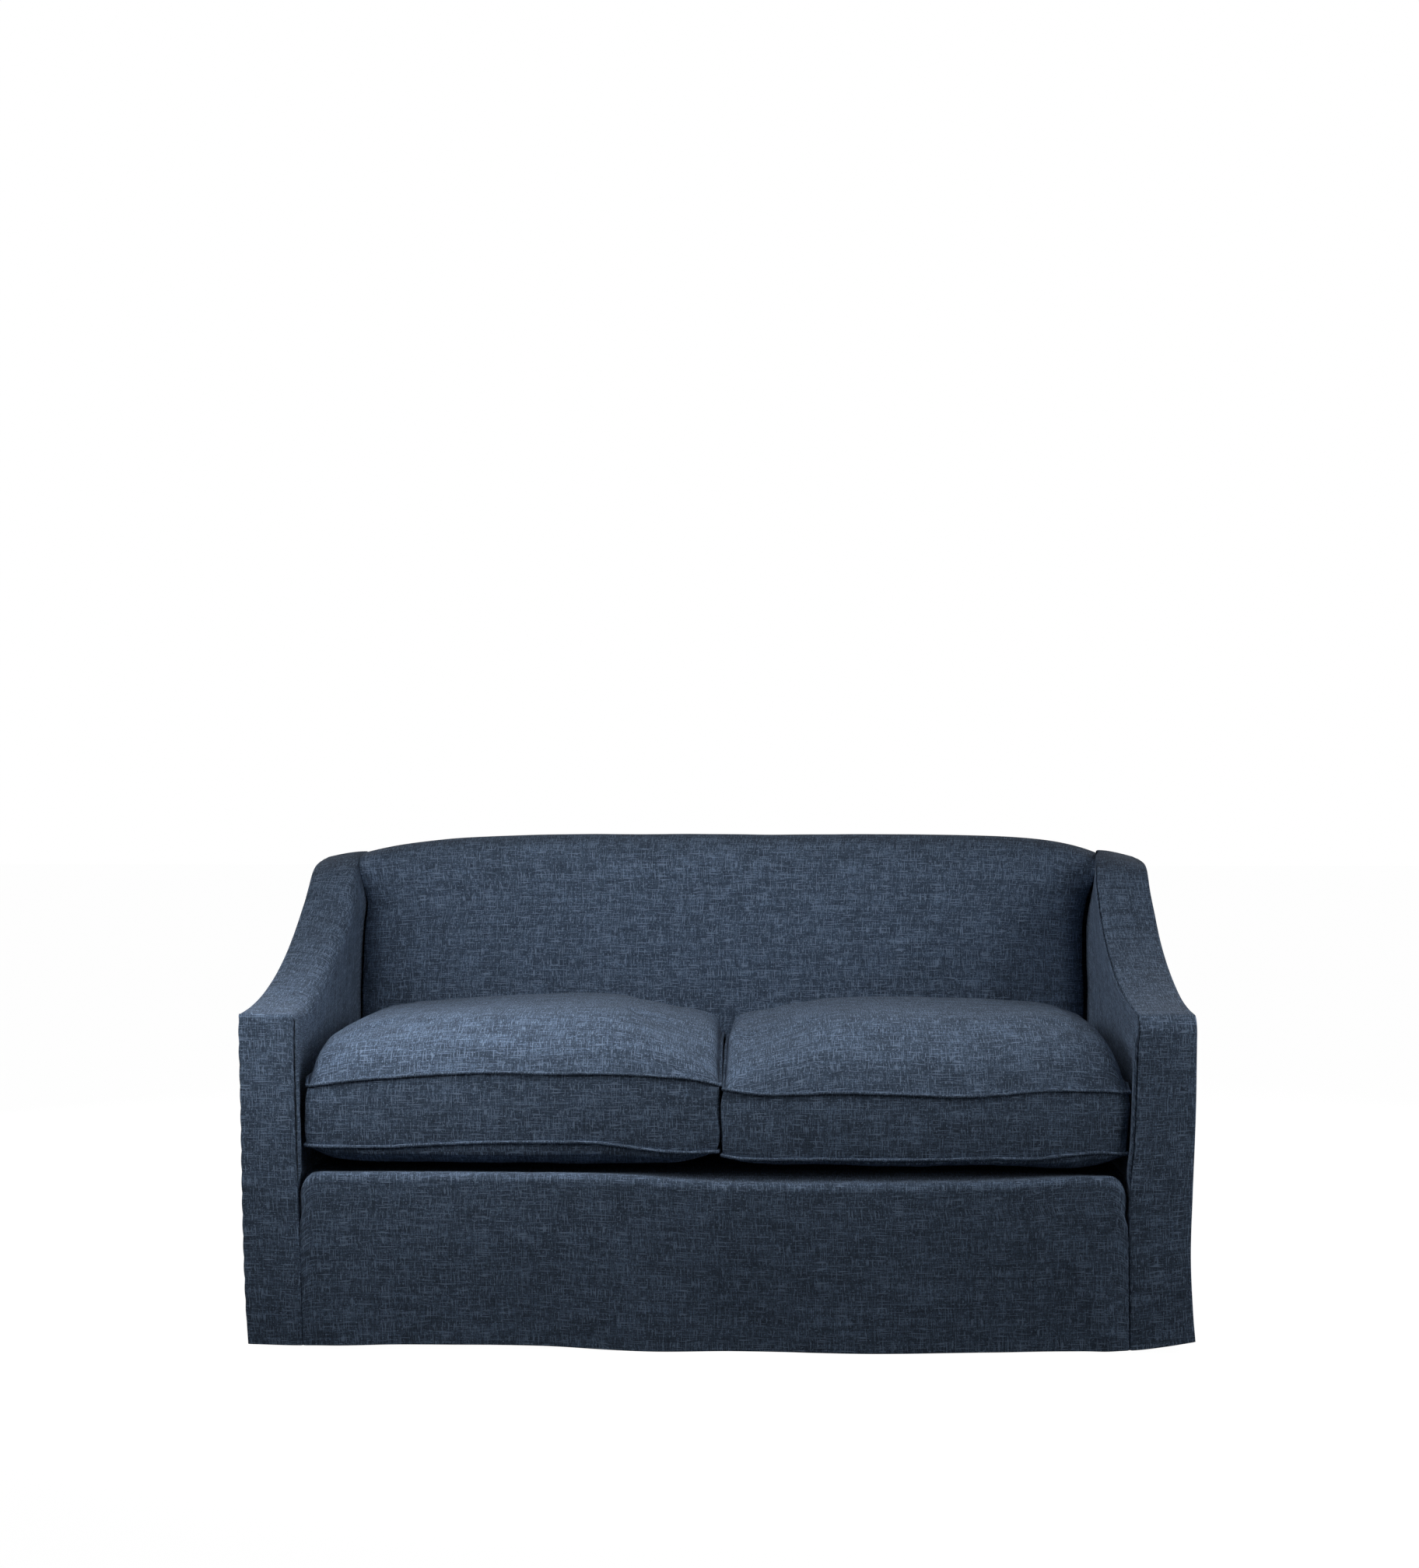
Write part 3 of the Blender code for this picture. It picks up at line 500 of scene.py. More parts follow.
#   depth, height on the left, height on the right
ARM_TOP = (
    (0.000, 0.567, 0.567),
    (0.100, 0.571, 0.571),
    (0.200, 0.583, 0.582),
    (0.300, 0.606, 0.603),
    (0.400, 0.637, 0.634),
    (0.480, 0.669, 0.669),
    (0.540, 0.698, 0.708),
    (0.580, 0.723, 0.744),
    (0.620, 0.750, 0.776),
    (0.670, 0.776, 0.793),
    (0.740, 0.792, 0.800),
    (0.860, 0.800, 0.803),
)
REAR_ROLL = 0.028  # radius where the arms' tops turn down behind
HEM_LIFT = 0.004  # how far the hem stands off the floor at the sides and behind
HEM_WAVE = 0.003  # and how much that height wanders
#   depth, half width, outward swell at the hem, height at which it dies out
ARM_FOLDS = (
    (0.14, 0.09, 0.007, 0.40),
    (0.38, 0.12, -0.005, 0.34),
    (0.62, 0.11, 0.009, 0.44),
    (0.80, 0.08, -0.004, 0.30),
)
#   place across, half width, swell to the rear at the hem, height at which it dies out
REAR_FOLDS = (
    (-0.55, 0.14, -0.006, 0.40),
    (-0.20, 0.16, -0.004, 0.50),
    (0.18, 0.15, -0.007, 0.36),
    (0.52, 0.13, -0.005, 0.46),
)
REAR_WIDTH, REAR_DROP = 1.606, 0.780  # cut size of the outside back
REAR_SINK = 0.0012  # how far the seam behind lies under the end of the inside back
#   finer folds: from a place on the cloth to another, half width, height
REAR_CREASES = (
    (0.10, 0.70, 0.16, 0.10, 0.040, 0.0016),
    (0.42, 0.66, 0.34, 0.20, 0.050, -0.0014),
    (0.86, 0.72, 0.90, 0.05, 0.045, 0.0018),
    (1.20, 0.70, 1.15, 0.25, 0.050, -0.0013),
    (1.52, 0.72, 1.47, 0.08, 0.040, 0.0017),
)


def folds(rows, place, height):
    """Sum of the soft upright folds at a place along a hanging panel."""
    total = 0.0
    for middle, half, swell, top in rows:
        reach = max(1 - abs(place - middle) / half, 0.0)
        total += swell * reach * reach * (3 - 2 * reach) * max(1 - height / top, 0.0)
    return total


def hem_height(place):
    """Height of the hem at the sides and behind, uneven but never on the floor."""
    return HEM_LIFT + HEM_WAVE * sin(9.0 * place + 0.6) * cos(4.0 * place)


def outer_edge(side, depth, height):
    swell = folds(ARM_FOLDS, depth, height) * ease(depth, 0.0, 0.08) * ease(DEPTH - depth, 0.0, 0.08)
    return side * (along(OUTER_EDGE[side], height) + swell)


def arm_top(side, depth):
    return along([(row[0], row[1 if side == LEFT else 2]) for row in ARM_TOP], depth)


def rear_top(across):
    """Height of the seam behind: level over the arms, arched over the back."""
    side = LEFT if across < 0 else RIGHT
    level = arm_top(side, DEPTH - REAR_ROLL) - REAR_ROLL
    share = across / abs(inner_edge(side, DEPTH, level))
    if abs(share) > 1:
        return level
    return min(max(back_line(round(share, 4))[2][-1][1], level), BACK_SECTION[-1][3]) - REAR_SINK


def rear_place(a, b):
    share = 1 - 2 * a / REAR_WIDTH
    side = LEFT if share < 0 else RIGHT
    across = share * along(OUTER_EDGE[side], 0.5)
    top = rear_top(across)
    height = blend(hem_height(across + 2.0), top, b / REAR_DROP)
    across = blend(across, side * along(OUTER_EDGE[side], height), ease(abs(share), 0.85, 1.0))
    return spot_at(across, DEPTH + folds(REAR_FOLDS, across, height), height)


def rear_relief(a, b):
    calm = ease(min(a, REAR_WIDTH - a), 0.0, 0.05) * ease(REAR_DROP - b, 0.0, 0.05)
    drawn = gathers(a, REAR_DROP - b, 0.05, 0.0016, 0.03, 14.0, still=0.01)
    return (slack(a, b, 0.24, 0.0022, 12.0) + creases(REAR_CREASES, a, b)) * calm + drawn


def felled(way):
    """The same narrow turn, all one way, at both sides and at the top of an outer panel."""
    return dict.fromkeys(("left", "right", "high"), (way, 0.0012, 0.006))


outside_back = cut_panel(
    "hanging_outside_back",
    (REAR_WIDTH, REAR_DROP),
    (0.010, 0.010),
    rear_place,
    rear_relief,
    felled((0, -1, 0)),
    (5.0, 3.0),
)
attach(outside_back, "root")
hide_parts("outside_back")

# ---- Left arm ----
# Three panels: an upright front with a crisp seam across its top, one width that lies over the
# top and rolls softly down the inside without a seam, and the outside, which hangs to the floor.
ARM_CREST = 0.003  # how far the arm's top swells between its edges
INNER_RISE = 0.012  # how far its inner edge stands above its outer edge at the back
RISE_FROM, RISE_TO = 0.58, 0.74  # depths over which that rise builds up
LEFT_ROLL, LEFT_ROLL_FRONT, LEFT_ROLL_END = 0.030, 0.009, 0.004  # radius of its soft inner edge
ROLL_FULL, ROLL_FADE, ROLL_GONE = 0.16, 0.60, 0.70  # depths where that is full, and where it fades
ARM_TUCK = 0.172  # height of the lower edge of the inside arms, tucked in below the deck
ARM_END = 0.7450  # depth at which the inside arms end, behind the face of the back
FRONT_WIDTH, FRONT_DROP = 0.095, 0.558  # cut size of the arm front
STRIP, ROLL, FACE = 0.075, 0.034, 0.455  # widths of the parts of the inside panel
FRONT_SWELL, SWELL_WIDTH = 0.0065, 0.032  # roll of the inside arms beside their front seams
SWELL_FROM, SWELL_TO, SWELL_ROUND = 0.262, 0.310, 0.010  # heights it builds up over, and its radius
FRONT_GROOVE, GROOVE_WIDTH = {LEFT: 0.0028, RIGHT: 0.0045}, 0.0022
SCALLOP, SCALLOP_PITCH = 0.0013, 0.037  # bulges between stitches that hold the outer front corner
LINE_STEPS, CORNER_STEPS = 400, 24  # steps along an arm's top and round its ends
#   place across, height
FRONT_HEM = (
    (-0.80, 0.0090), (-0.70, 0.0070), (-0.55, 0.0095), (-0.30, 0.0080), (-0.17, 0.0025),
    (0.05, 0.0010), (0.35, 0.0004), (0.55, 0.0030), (0.69, 0.0060), (0.73, 0.0100),
    (0.80, 0.0210),
)
HEM_END, HEM_TURN = 0.80, 0.12  # where the front's hem turns the corner, and how soon it settles


def arm_rise(depth):
    return INNER_RISE * ease(depth, RISE_FROM, RISE_TO) * ease(DEPTH - depth, 0.0, REAR_ROLL)


def quarter(steps):
    """Angles from 0 to a right angle."""
    return [i / steps * pi / 2 for i in range(steps + 1)]


def arm_line(side, start, corner=0.0):
    """(length, depth, height) along the arm's top, with its front corner if it is rounded."""
    end, turns = DEPTH - REAR_ROLL, quarter(CORNER_STEPS)
    spots = []
    if corner:
        low = arm_top(side, corner)
        spots = [(corner * (1 - cos(turn)), low - corner * (1 - sin(turn))) for turn in turns[:-1]]
    depths = [blend(corner or start, end, i / LINE_STEPS) for i in range(LINE_STEPS + 1)]
    spots += [(depth, arm_top(side, depth)) for depth in depths]
    high = arm_top(side, end)
    spots += [(end + REAR_ROLL * sin(turn), high - REAR_ROLL * (1 - cos(turn))) for turn in turns[1:]]
    return [(run, *spot) for run, spot in zip(lengths(spots), spots)]


def on_line(line, at, key=0):
    """Row of a line where its key column has a value, straight between its rows."""
    near = min(max(bisect_right(line, at, key=itemgetter(key)) - 1, 0), len(line) - 2)
    low, high = line[near], line[near + 1]
    span = high[key] - low[key]
    share = min(max((at - low[key]) / span, 0.0), 1.0) if span else 0.0
    return [blend(first, second, share) for first, second in zip(low, high)]


def front_swell(side, away, height):
    """Soft roll of the padding beside an arm's front seam, and the groove in front of it."""
    full = ease(height, SWELL_FROM, SWELL_TO) * (1 - ease(away, 0.4 * SWELL_WIDTH, SWELL_WIDTH))
    inward = FRONT_SWELL * (1 - (1 - min(away / SWELL_ROUND, 1.0)) ** 2) ** 0.5
    back = FRONT_GROOVE[side] * max(1 - away / GROOVE_WIDTH, 0.0) ** 1.5 - UNDER
    return Vector((-side * inward * full, back * full, 0.0))


def scallop(height):
    return SCALLOP * (abs(sin(pi * height / SCALLOP_PITCH)) - 0.6) * ease(height, 0.02, 0.08)


def left_front_place(a, b):
    share = a / FRONT_WIDTH
    height = blend(0.0, arm_top(LEFT, 0.0), b / FRONT_DROP)
    inner = inner_edge(LEFT, 0.0, height)
    across = blend(outer_edge(LEFT, 0.0, height), inner, share)
    near = LEFT_ROLL_FRONT - min(inner - across, LEFT_ROLL_FRONT)
    edge = arm_top(LEFT, 0.0) - LEFT_ROLL_FRONT + (LEFT_ROLL_FRONT**2 - near**2) ** 0.5
    across -= scallop(height) * ease(0.03 - a, 0.0, 0.03)
    return spot_at(across, 0.0, blend(along(FRONT_HEM, across), edge, b / FRONT_DROP))


def left_front_relief(a, b):
    calm = ease(a, 0.0, 0.02) * ease(FRONT_WIDTH - a, 0.0, 0.02) * ease(FRONT_DROP - b, 0.0, 0.02)
    outer = gathers(b, a, 0.030, 0.0012, 0.012, 21.0)
    inner = gathers(b, FRONT_WIDTH - a, 0.035, 0.0010, 0.012, 22.0)
    top = gathers(a, FRONT_DROP - b, 0.022, 0.0012, 0.020, 23.0)
    drawn = (outer + inner + top) * ease(FRONT_DROP - b, 0.0, 0.006)
    return slack(a, b, 0.10, 0.0014, 20.0) * calm + drawn


left_front = cut_panel(
    "left_arm_front",
    (FRONT_WIDTH, FRONT_DROP),
    (0.006, 0.006),
    left_front_place,
    left_front_relief,
    {
        "left": ((0, 1, 0), 0.0020, 0.005),
        "right": ((0, 1, 0), 0.0040, 0.0030),
        "high": ((0, 1, 0), 0.0050, 0.0045),
    },
    (8.0, 1.5),
)
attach(left_front, "root")
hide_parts("arm_front_left")

left_line = arm_line(LEFT, UNDER)
LEFT_LENGTH = left_line[-1][0]


def left_roll(depth):
    front = blend(LEFT_ROLL_FRONT, LEFT_ROLL, ease(depth, 0.0, ROLL_FULL))
    return blend(front, LEFT_ROLL_END, ease(depth, ROLL_FADE, ROLL_GONE))


def left_inside_place(a, b):
    depth, height = on_line(left_line, b)[1:]
    radius = left_roll(depth)
    top = height + arm_rise(depth)
    if a < STRIP:
        share = a / STRIP
        across = blend(outer_edge(LEFT, depth, height), inner_edge(LEFT, depth, top) - radius, share)
        crest = ARM_CREST * 27 / 4 * share * (1 - share) ** 2 * ease(depth, 0.0, 0.05)
        return spot_at(across, depth, height + crest + arm_rise(depth) * ease(share, 0.0, 1.0))
    if a < STRIP + ROLL:
        turn = (a - STRIP) / ROLL * pi / 2
        across = inner_edge(LEFT, depth, top) - radius * (1 - sin(turn))
        return spot_at(across, depth, top - radius * (1 - cos(turn)))
    level = blend(top - radius, ARM_TUCK, (a - STRIP - ROLL) / FACE)
    swell = front_swell(LEFT, b, level) * ease(a, STRIP + 0.5 * ROLL, STRIP + ROLL + 0.006)
    return spot_at(inner_edge(LEFT, depth, level), depth, level) + swell


def left_inside_relief(a, b):
    edge = ease(a, 0.0, 0.02) * ease(b, 0.0, 0.02)
    front = gathers(a, b, 0.026, 0.0016, 0.022, 25.0, still=0.006)
    outer = gathers(b, a, 0.032, 0.0012, 0.014, 26.0, still=0.005)
    return slack(a, b, 0.13, 0.0017, 24.0) * edge + front + outer


left_inside = cut_panel(
    "left_arm_top_and_inside",
    (STRIP + ROLL + FACE, LEFT_LENGTH),
    (0.0065, 0.0070),
    left_inside_place,
    left_inside_relief,
    {"left": (None, 0.0014, 0.005), "low": (None, 0.0030, 0.0045), "high": (None, 0.0010, 0.006)},
    (11.0, 2.0),
    keep=lambda a, b: a <= STRIP + ROLL or on_line(left_line, b)[1] < ARM_END,
)
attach(left_inside, "root")
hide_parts("inside_arm_left")

SIDE_LENGTH, SIDE_DROP = DEPTH - 2 * UNDER, 0.700  # length and height of the outer panels' grid


def outside_top(line, depth):
    return on_line(line, depth, key=1)[2]


def slant(line, depth):
    """How much longer the arm's top is than its depth, where it slopes."""
    before, after = on_line(line, depth - 0.002, key=1), on_line(line, depth + 0.002, key=1)
    return (1 + ((after[2] - before[2]) / (after[1] - before[1])) ** 2) ** 0.5


def outside_place(side, line, depth, share):
    start, end = line[0][1] + UNDER * (side == RIGHT), DEPTH - UNDER
    depth = blend(start, end, depth)
    top = outside_top(line, depth) - UNDER * slant(line, depth)
    foot = blend(along(FRONT_HEM, side * HEM_END), hem_height(depth), ease(depth, 0.0, HEM_TURN))
    height = blend(foot, top, share)
    return spot_at(outer_edge(side, depth, height), depth, height)


def left_outside_place(a, b):
    spot = outside_place(LEFT, left_line, 1 - a / SIDE_LENGTH, b / SIDE_DROP)
    spot.x -= scallop(spot.z) * ease(0.03 - (SIDE_LENGTH - a), 0.0, 0.03)
    return spot


def outside_relief(a, b, seed):
    calm = ease(min(a, SIDE_LENGTH - a), 0.0, 0.04) * ease(SIDE_DROP - b, 0.0, 0.05)
    drawn = gathers(a, SIDE_DROP - b, 0.040, 0.0012, 0.025, seed + 1.0, still=0.01)
    return slack(a, b, 0.20, 0.0020, seed) * calm + drawn


left_outside = cut_panel(
    "left_arm_outside",
    (SIDE_LENGTH, SIDE_DROP),
    (0.0095, 0.0095),
    left_outside_place,
    lambda a, b: outside_relief(a, b, 28.0),
    felled((1, 0, 0)),
    (14.0, 4.0),
    grain=lambda a, b: (a, b * outside_top(left_line, DEPTH - a) / SIDE_DROP),
)
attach(left_outside, "root")
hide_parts("outside_arm_left")

# ---- Right arm ----
# Made another way: one continuous band runs from the hem up the front, over a rounded corner and
# along the top, with a seam on each side of it, to the inside panel and to the outside panel.
ARM_CORNER = 0.034  # radius where the band turns from the front to the top
BAND_WIDTH = 0.098  # cut width between its seams
SEAM_GAP = 0.0022  # width of the deep seam between the arm's top and its inside
BAND_SEAM, BAND_SEAM_END = 0.0075, 0.0008  # its depth, and its depth where the back lies beside it
right_line = arm_line(RIGHT, UNDER, ARM_CORNER)
UPRIGHT = right_line[0][2]  # height at which the band begins to turn over
BAND_LENGTH = UPRIGHT + right_line[-1][0]
BACK_BEGINS = 0.68  # depth from which the back lies beside the arm's top
SEAM_END = UPRIGHT + on_line(right_line, BACK_BEGINS, key=1)[0]


def band_seam(b):
    return blend(BAND_SEAM, BAND_SEAM_END, ease(b, SEAM_END - 0.05, SEAM_END))


def band_place(a, b):
    share = a / BAND_WIDTH
    if b < UPRIGHT:
        depth, height = 0.0, b
    else:
        depth, height = on_line(right_line, b - UPRIGHT)[1:]
    gap = SEAM_GAP * ease(b, UPRIGHT - 0.02, UPRIGHT + 0.03) * (1 - ease(b, SEAM_END - 0.08, SEAM_END))
    inner = inner_edge(RIGHT, depth, height) + gap
    across = blend(inner, outer_edge(RIGHT, depth, height), share)
    if b < UPRIGHT:
        height = blend(along(FRONT_HEM, across), UPRIGHT, b / UPRIGHT)
    on_top = ease(depth, 0.0, 2 * ARM_CORNER)
    crest = ARM_CREST * 4 * share * (1 - share) + arm_rise(depth) * (1 - ease(share, 0.0, 1.0))
    return spot_at(across, depth, height + on_top * crest)


def band_relief(a, b):
    calm = ease(min(a, BAND_WIDTH - a), 0.0, 0.02)
    inner = gathers(b, a, 0.022, 0.0022, 0.014, 31.0, still=0.005)
    outer = gathers(b, BAND_WIDTH - a, 0.034, 0.0012, 0.012, 32.0, still=0.005)
    return slack(a, b, 0.11, 0.0016, 30.0) * calm + inner + outer


band = cut_panel(
    "right_arm_band",
    (BAND_WIDTH, BAND_LENGTH),
    (0.006, 0.0065),
    band_place,
    band_relief,
    {"left": (None, band_seam, 0.0042), "right": (None, 0.0014, 0.005), "high": (None, 0.0010, 0.006)},
    (17.0, 1.0),
)
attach(band, "root")
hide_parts("arm_band_right")

INSIDE_LENGTH, INSIDE_DROP = ARM_END - UNDER, 0.560  # length and height of the inner panel's grid


def right_inside_place(a, b):
    depth = ARM_END - a
    under = UNDER * ease(ARM_CORNER + 0.02 - depth, 0.0, 0.02) * slant(right_line, depth)
    top = outside_top(right_line, depth) + arm_rise(depth) - under
    height = blend(ARM_TUCK, top, b / INSIDE_DROP)
    swell = front_swell(RIGHT, INSIDE_LENGTH - a, height) * ease(top - height, 0.0, 0.03)
    return spot_at(inner_edge(RIGHT, depth, height), depth, height) + swell


def right_inside_relief(a, b):
    calm = ease(min(a, INSIDE_LENGTH - a), 0.0, 0.03) * ease(INSIDE_DROP - b, 0.0, 0.03)
    drawn = gathers(a, INSIDE_DROP - b, 0.026, 0.0024, 0.022, 35.0, still=0.008)
    return slack(a, b, 0.13, 0.0017, 34.0) * calm + drawn


right_inside = cut_panel(
    "right_arm_inside",
    (INSIDE_LENGTH, INSIDE_DROP),
    (0.0070, 0.0070),
    right_inside_place,
    right_inside_relief,
    {"right": ((1, 0, 0), 0.0010, 0.003), "high": ((1, 0, 0), 0.0016, 0.005)},
    (20.0, 2.5),
)
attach(right_inside, "root")
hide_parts("inside_arm_right")

right_outside = cut_panel(
    "right_arm_outside",
    (SIDE_LENGTH, SIDE_DROP),
    (0.0095, 0.0095),
    lambda a, b: outside_place(RIGHT, right_line, a / SIDE_LENGTH, b / SIDE_DROP),
    lambda a, b: outside_relief(a, b, 37.0),
    felled((-1, 0, 0)),
    (23.0, 4.5),
    grain=lambda a, b: (a, b * outside_top(right_line, a) / SIDE_DROP),
)
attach(right_outside, "root")
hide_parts("outside_arm_right")

# ---- Seat ----
# The front border is a loose width from the floor to the front edge of the seat, free beside the
# arms at its rounded top corners. The deck under the cushions runs from its lip to the back.
DECK = 0.290  # height of the deck
DECK_RAMP, DECK_END = 0.09, 0.0015  # depth at which it is level, and room between it and the back
SEAT_HALF = 0.70  # half its width
BEHIND_ARM = 0.0025  # how far the border's side edges pass behind the arm fronts, where they are sewn
#   place across, height of the border's top edge
SEAT_TOP = (
    (-0.70, 0.2990), (-0.40, 0.2990), (-0.18, 0.2965), (0.00, 0.2850), (0.17, 0.2830),
    (0.34, 0.2845), (0.50, 0.2895), (0.58, 0.2950), (0.70, 0.2970),
)
BORDER_CORNER, CORNER_FALL = 0.030, 0.048  # width and height of its rounded top corners
BORDER_LIP = 0.012  # radius where it turns back to the deck
BORDER_SLIT, SLIT_START = 0.262, 0.030  # height above which it stands free, and the run-up to it
SLIT_WIDTH = {LEFT: 0.0028, RIGHT: 0.0045}
BORDER_WIDTH, BORDER_DROP = 1.400, 0.300
LIP = BORDER_LIP * pi / 2
BORDER_UPRIGHT = BORDER_DROP - LIP  # length of cloth below the lip
#   how far back its side edges lie: sewn below, turned in where it is free, and sewn at the top
SIDE_SEWN, SIDE_FREE, SIDE_TOP = 0.0060, 0.0150, 0.0040
SEWN_TO, FREE_FROM, FREE_TO = 0.200, 0.232, 0.284  # lengths up the cloth between these
#   place across, half width, forward swell at the hem, height at which it dies out
FRONT_FOLDS = (
    (-0.62, 0.10, 0.005, 0.22),
    (-0.33, 0.13, -0.004, 0.20),
    (-0.10, 0.12, 0.008, 0.24),
    (0.26, 0.20, 0.011, 0.26),
    (0.57, 0.11, -0.003, 0.20),
    (0.66, 0.05, 0.006, 0.18),
)


def seat_point(share, corner, height, slit):
    """Across place on the border or deck, at a height."""
    left = inner_edge(LEFT, 0.0, height) + blend(-BEHIND_ARM, SLIT_WIDTH[LEFT], slit) + BORDER_CORNER
    right = inner_edge(RIGHT, 0.0, height) - blend(-BEHIND_ARM, SLIT_WIDTH[RIGHT], slit) - BORDER_CORNER
    return blend(left, right, (share + 1) / 2) + share * corner * BORDER_CORNER


def border_spot(a):
    """Share across the straight part, and how far into a rounded corner, from 0 to 1."""
    beside = min(a, BORDER_WIDTH - a)
    side = -1.0 if a < BORDER_WIDTH / 2 else 1.0
    if beside < BORDER_CORNER:
        return side, 1 - beside / BORDER_CORNER
    return blend(-1.0, 1.0, (a - BORDER_CORNER) / (BORDER_WIDTH - 2 * BORDER_CORNER)), 0.0


def corner_drop(corner):
    return CORNER_FALL * (1 - (1 - corner**2) ** 0.5)


def border_place(a, b):
    share, corner = border_spot(a)
    rise = min(b / BORDER_UPRIGHT, 1.0)
    turn = max(b - BORDER_UPRIGHT, 0.0) / LIP * pi / 2
    level = DECK * rise
    across = seat_point(share, corner, level, ease(level, BORDER_SLIT - SLIT_START, BORDER_SLIT))
    edge = along(SEAT_TOP, across) - corner_drop(corner) - BORDER_LIP
    height = blend(along(FRONT_HEM, across), edge, rise)
    depth = -folds(FRONT_FOLDS, across, height) * ease(SEAT_HALF - abs(across), 0.0, 0.06)
    return spot_at(across, depth + BORDER_LIP * (1 - cos(turn)), height + BORDER_LIP * sin(turn))


def border_relief(a, b):
    beside = min(a, BORDER_WIDTH - a)
    calm = ease(beside, 0.0, 0.02)
    side = gathers(b, beside, 0.030, 0.0012, 0.015, 41.0, still=0.006)
    top = gathers(a, BORDER_UPRIGHT - b, 0.050, 0.0014, 0.030, 42.0) if b < BORDER_UPRIGHT else 0.0
    return slack(a, b, 0.16, 0.0017, 40.0) * calm + side + top * calm


def border_side(b):
    free = blend(SIDE_SEWN, SIDE_FREE, ease(b, SEWN_TO, FREE_FROM))
    return blend(free, SIDE_TOP, ease(b, FREE_TO, BORDER_DROP))


border = cut_panel(
    "front_border_panel",
    (BORDER_WIDTH, BORDER_DROP),
    (0.0060, 0.0055),
    border_place,
    border_relief,
    {"left": ((0, 1, 0), border_side, 0.008), "right": ((0, 1, 0), border_side, 0.008)},
    (26.0, 1.2),
)
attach(border, "root")
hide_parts("front_border")

DECK_LENGTH = 0.690  # from the border's lip to the back


def deck_place(a, b):
    share, corner = border_spot(a)
    across = seat_point(share, corner, DECK, 1.0)
    arch = min(abs(across) / SEAT_HALF, 1.0) ** BACK_FULLNESS[across > 0]
    end = blend(BACK_SECTION[0][2], BACK_SECTION[0][0], arch) - DECK_END
    depth = blend(BORDER_LIP + 0.0012, end, b / DECK_LENGTH)
    edge = along(SEAT_TOP, across) - corner_drop(corner)
    return spot_at(across, depth, blend(edge, DECK, ease(depth, BORDER_LIP, DECK_RAMP)))


deck = cut_panel(
    "deck_under_cushions",
    (BORDER_WIDTH, DECK_LENGTH),
    (0.014, 0.014),
    deck_place,
    lambda a, b: -abs(slack(a, b, 0.15, 0.0010, 44.0)),
    {"low": ((0, 0, -1), 0.0010, 0.005)},
    (29.0, 1.0),
)
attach(deck, "root")
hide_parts("seat_deck")

# ---- Seat cushions ----
# Two plump boxed cushions, each a top, a bottom and a boxing strip of the same linen over a soft
# filling. The seams pull the cloth in, the corners stand out a little, and the bottoms lie flat.
PIPING = 0.0030  # radius of the piping
FREE_OF_PIPING = 0.005  # how far in from the side seams' outer faces the top is free of it
CUSHION_FRONT, CUSHION_BACK = 0.013, 0.684  # depths of the piping's outer faces
CUSHION_CELLS = (88, 84, 12)  # across, to the back and up the boxing
CROWN_SQUARE, CROWN_ROUND = 4.5, 0.45  # how full the crown is towards the seams
EDGE_SQUARE = 40  # how steeply it comes up from the side seams
CORNER_CUT = 0.012  # how much the back corners are rounded
CORNER_ROUND = 0.0045  # and how far the front corners stand back
CUSHION_REST = 0.0006  # room between a cushion's lowest point and the deck
LIP_RUN = 0.034  # depth over which a cushion rounds under its front seam
REST_FROM = 0.235  # depth from which it lies on the deck
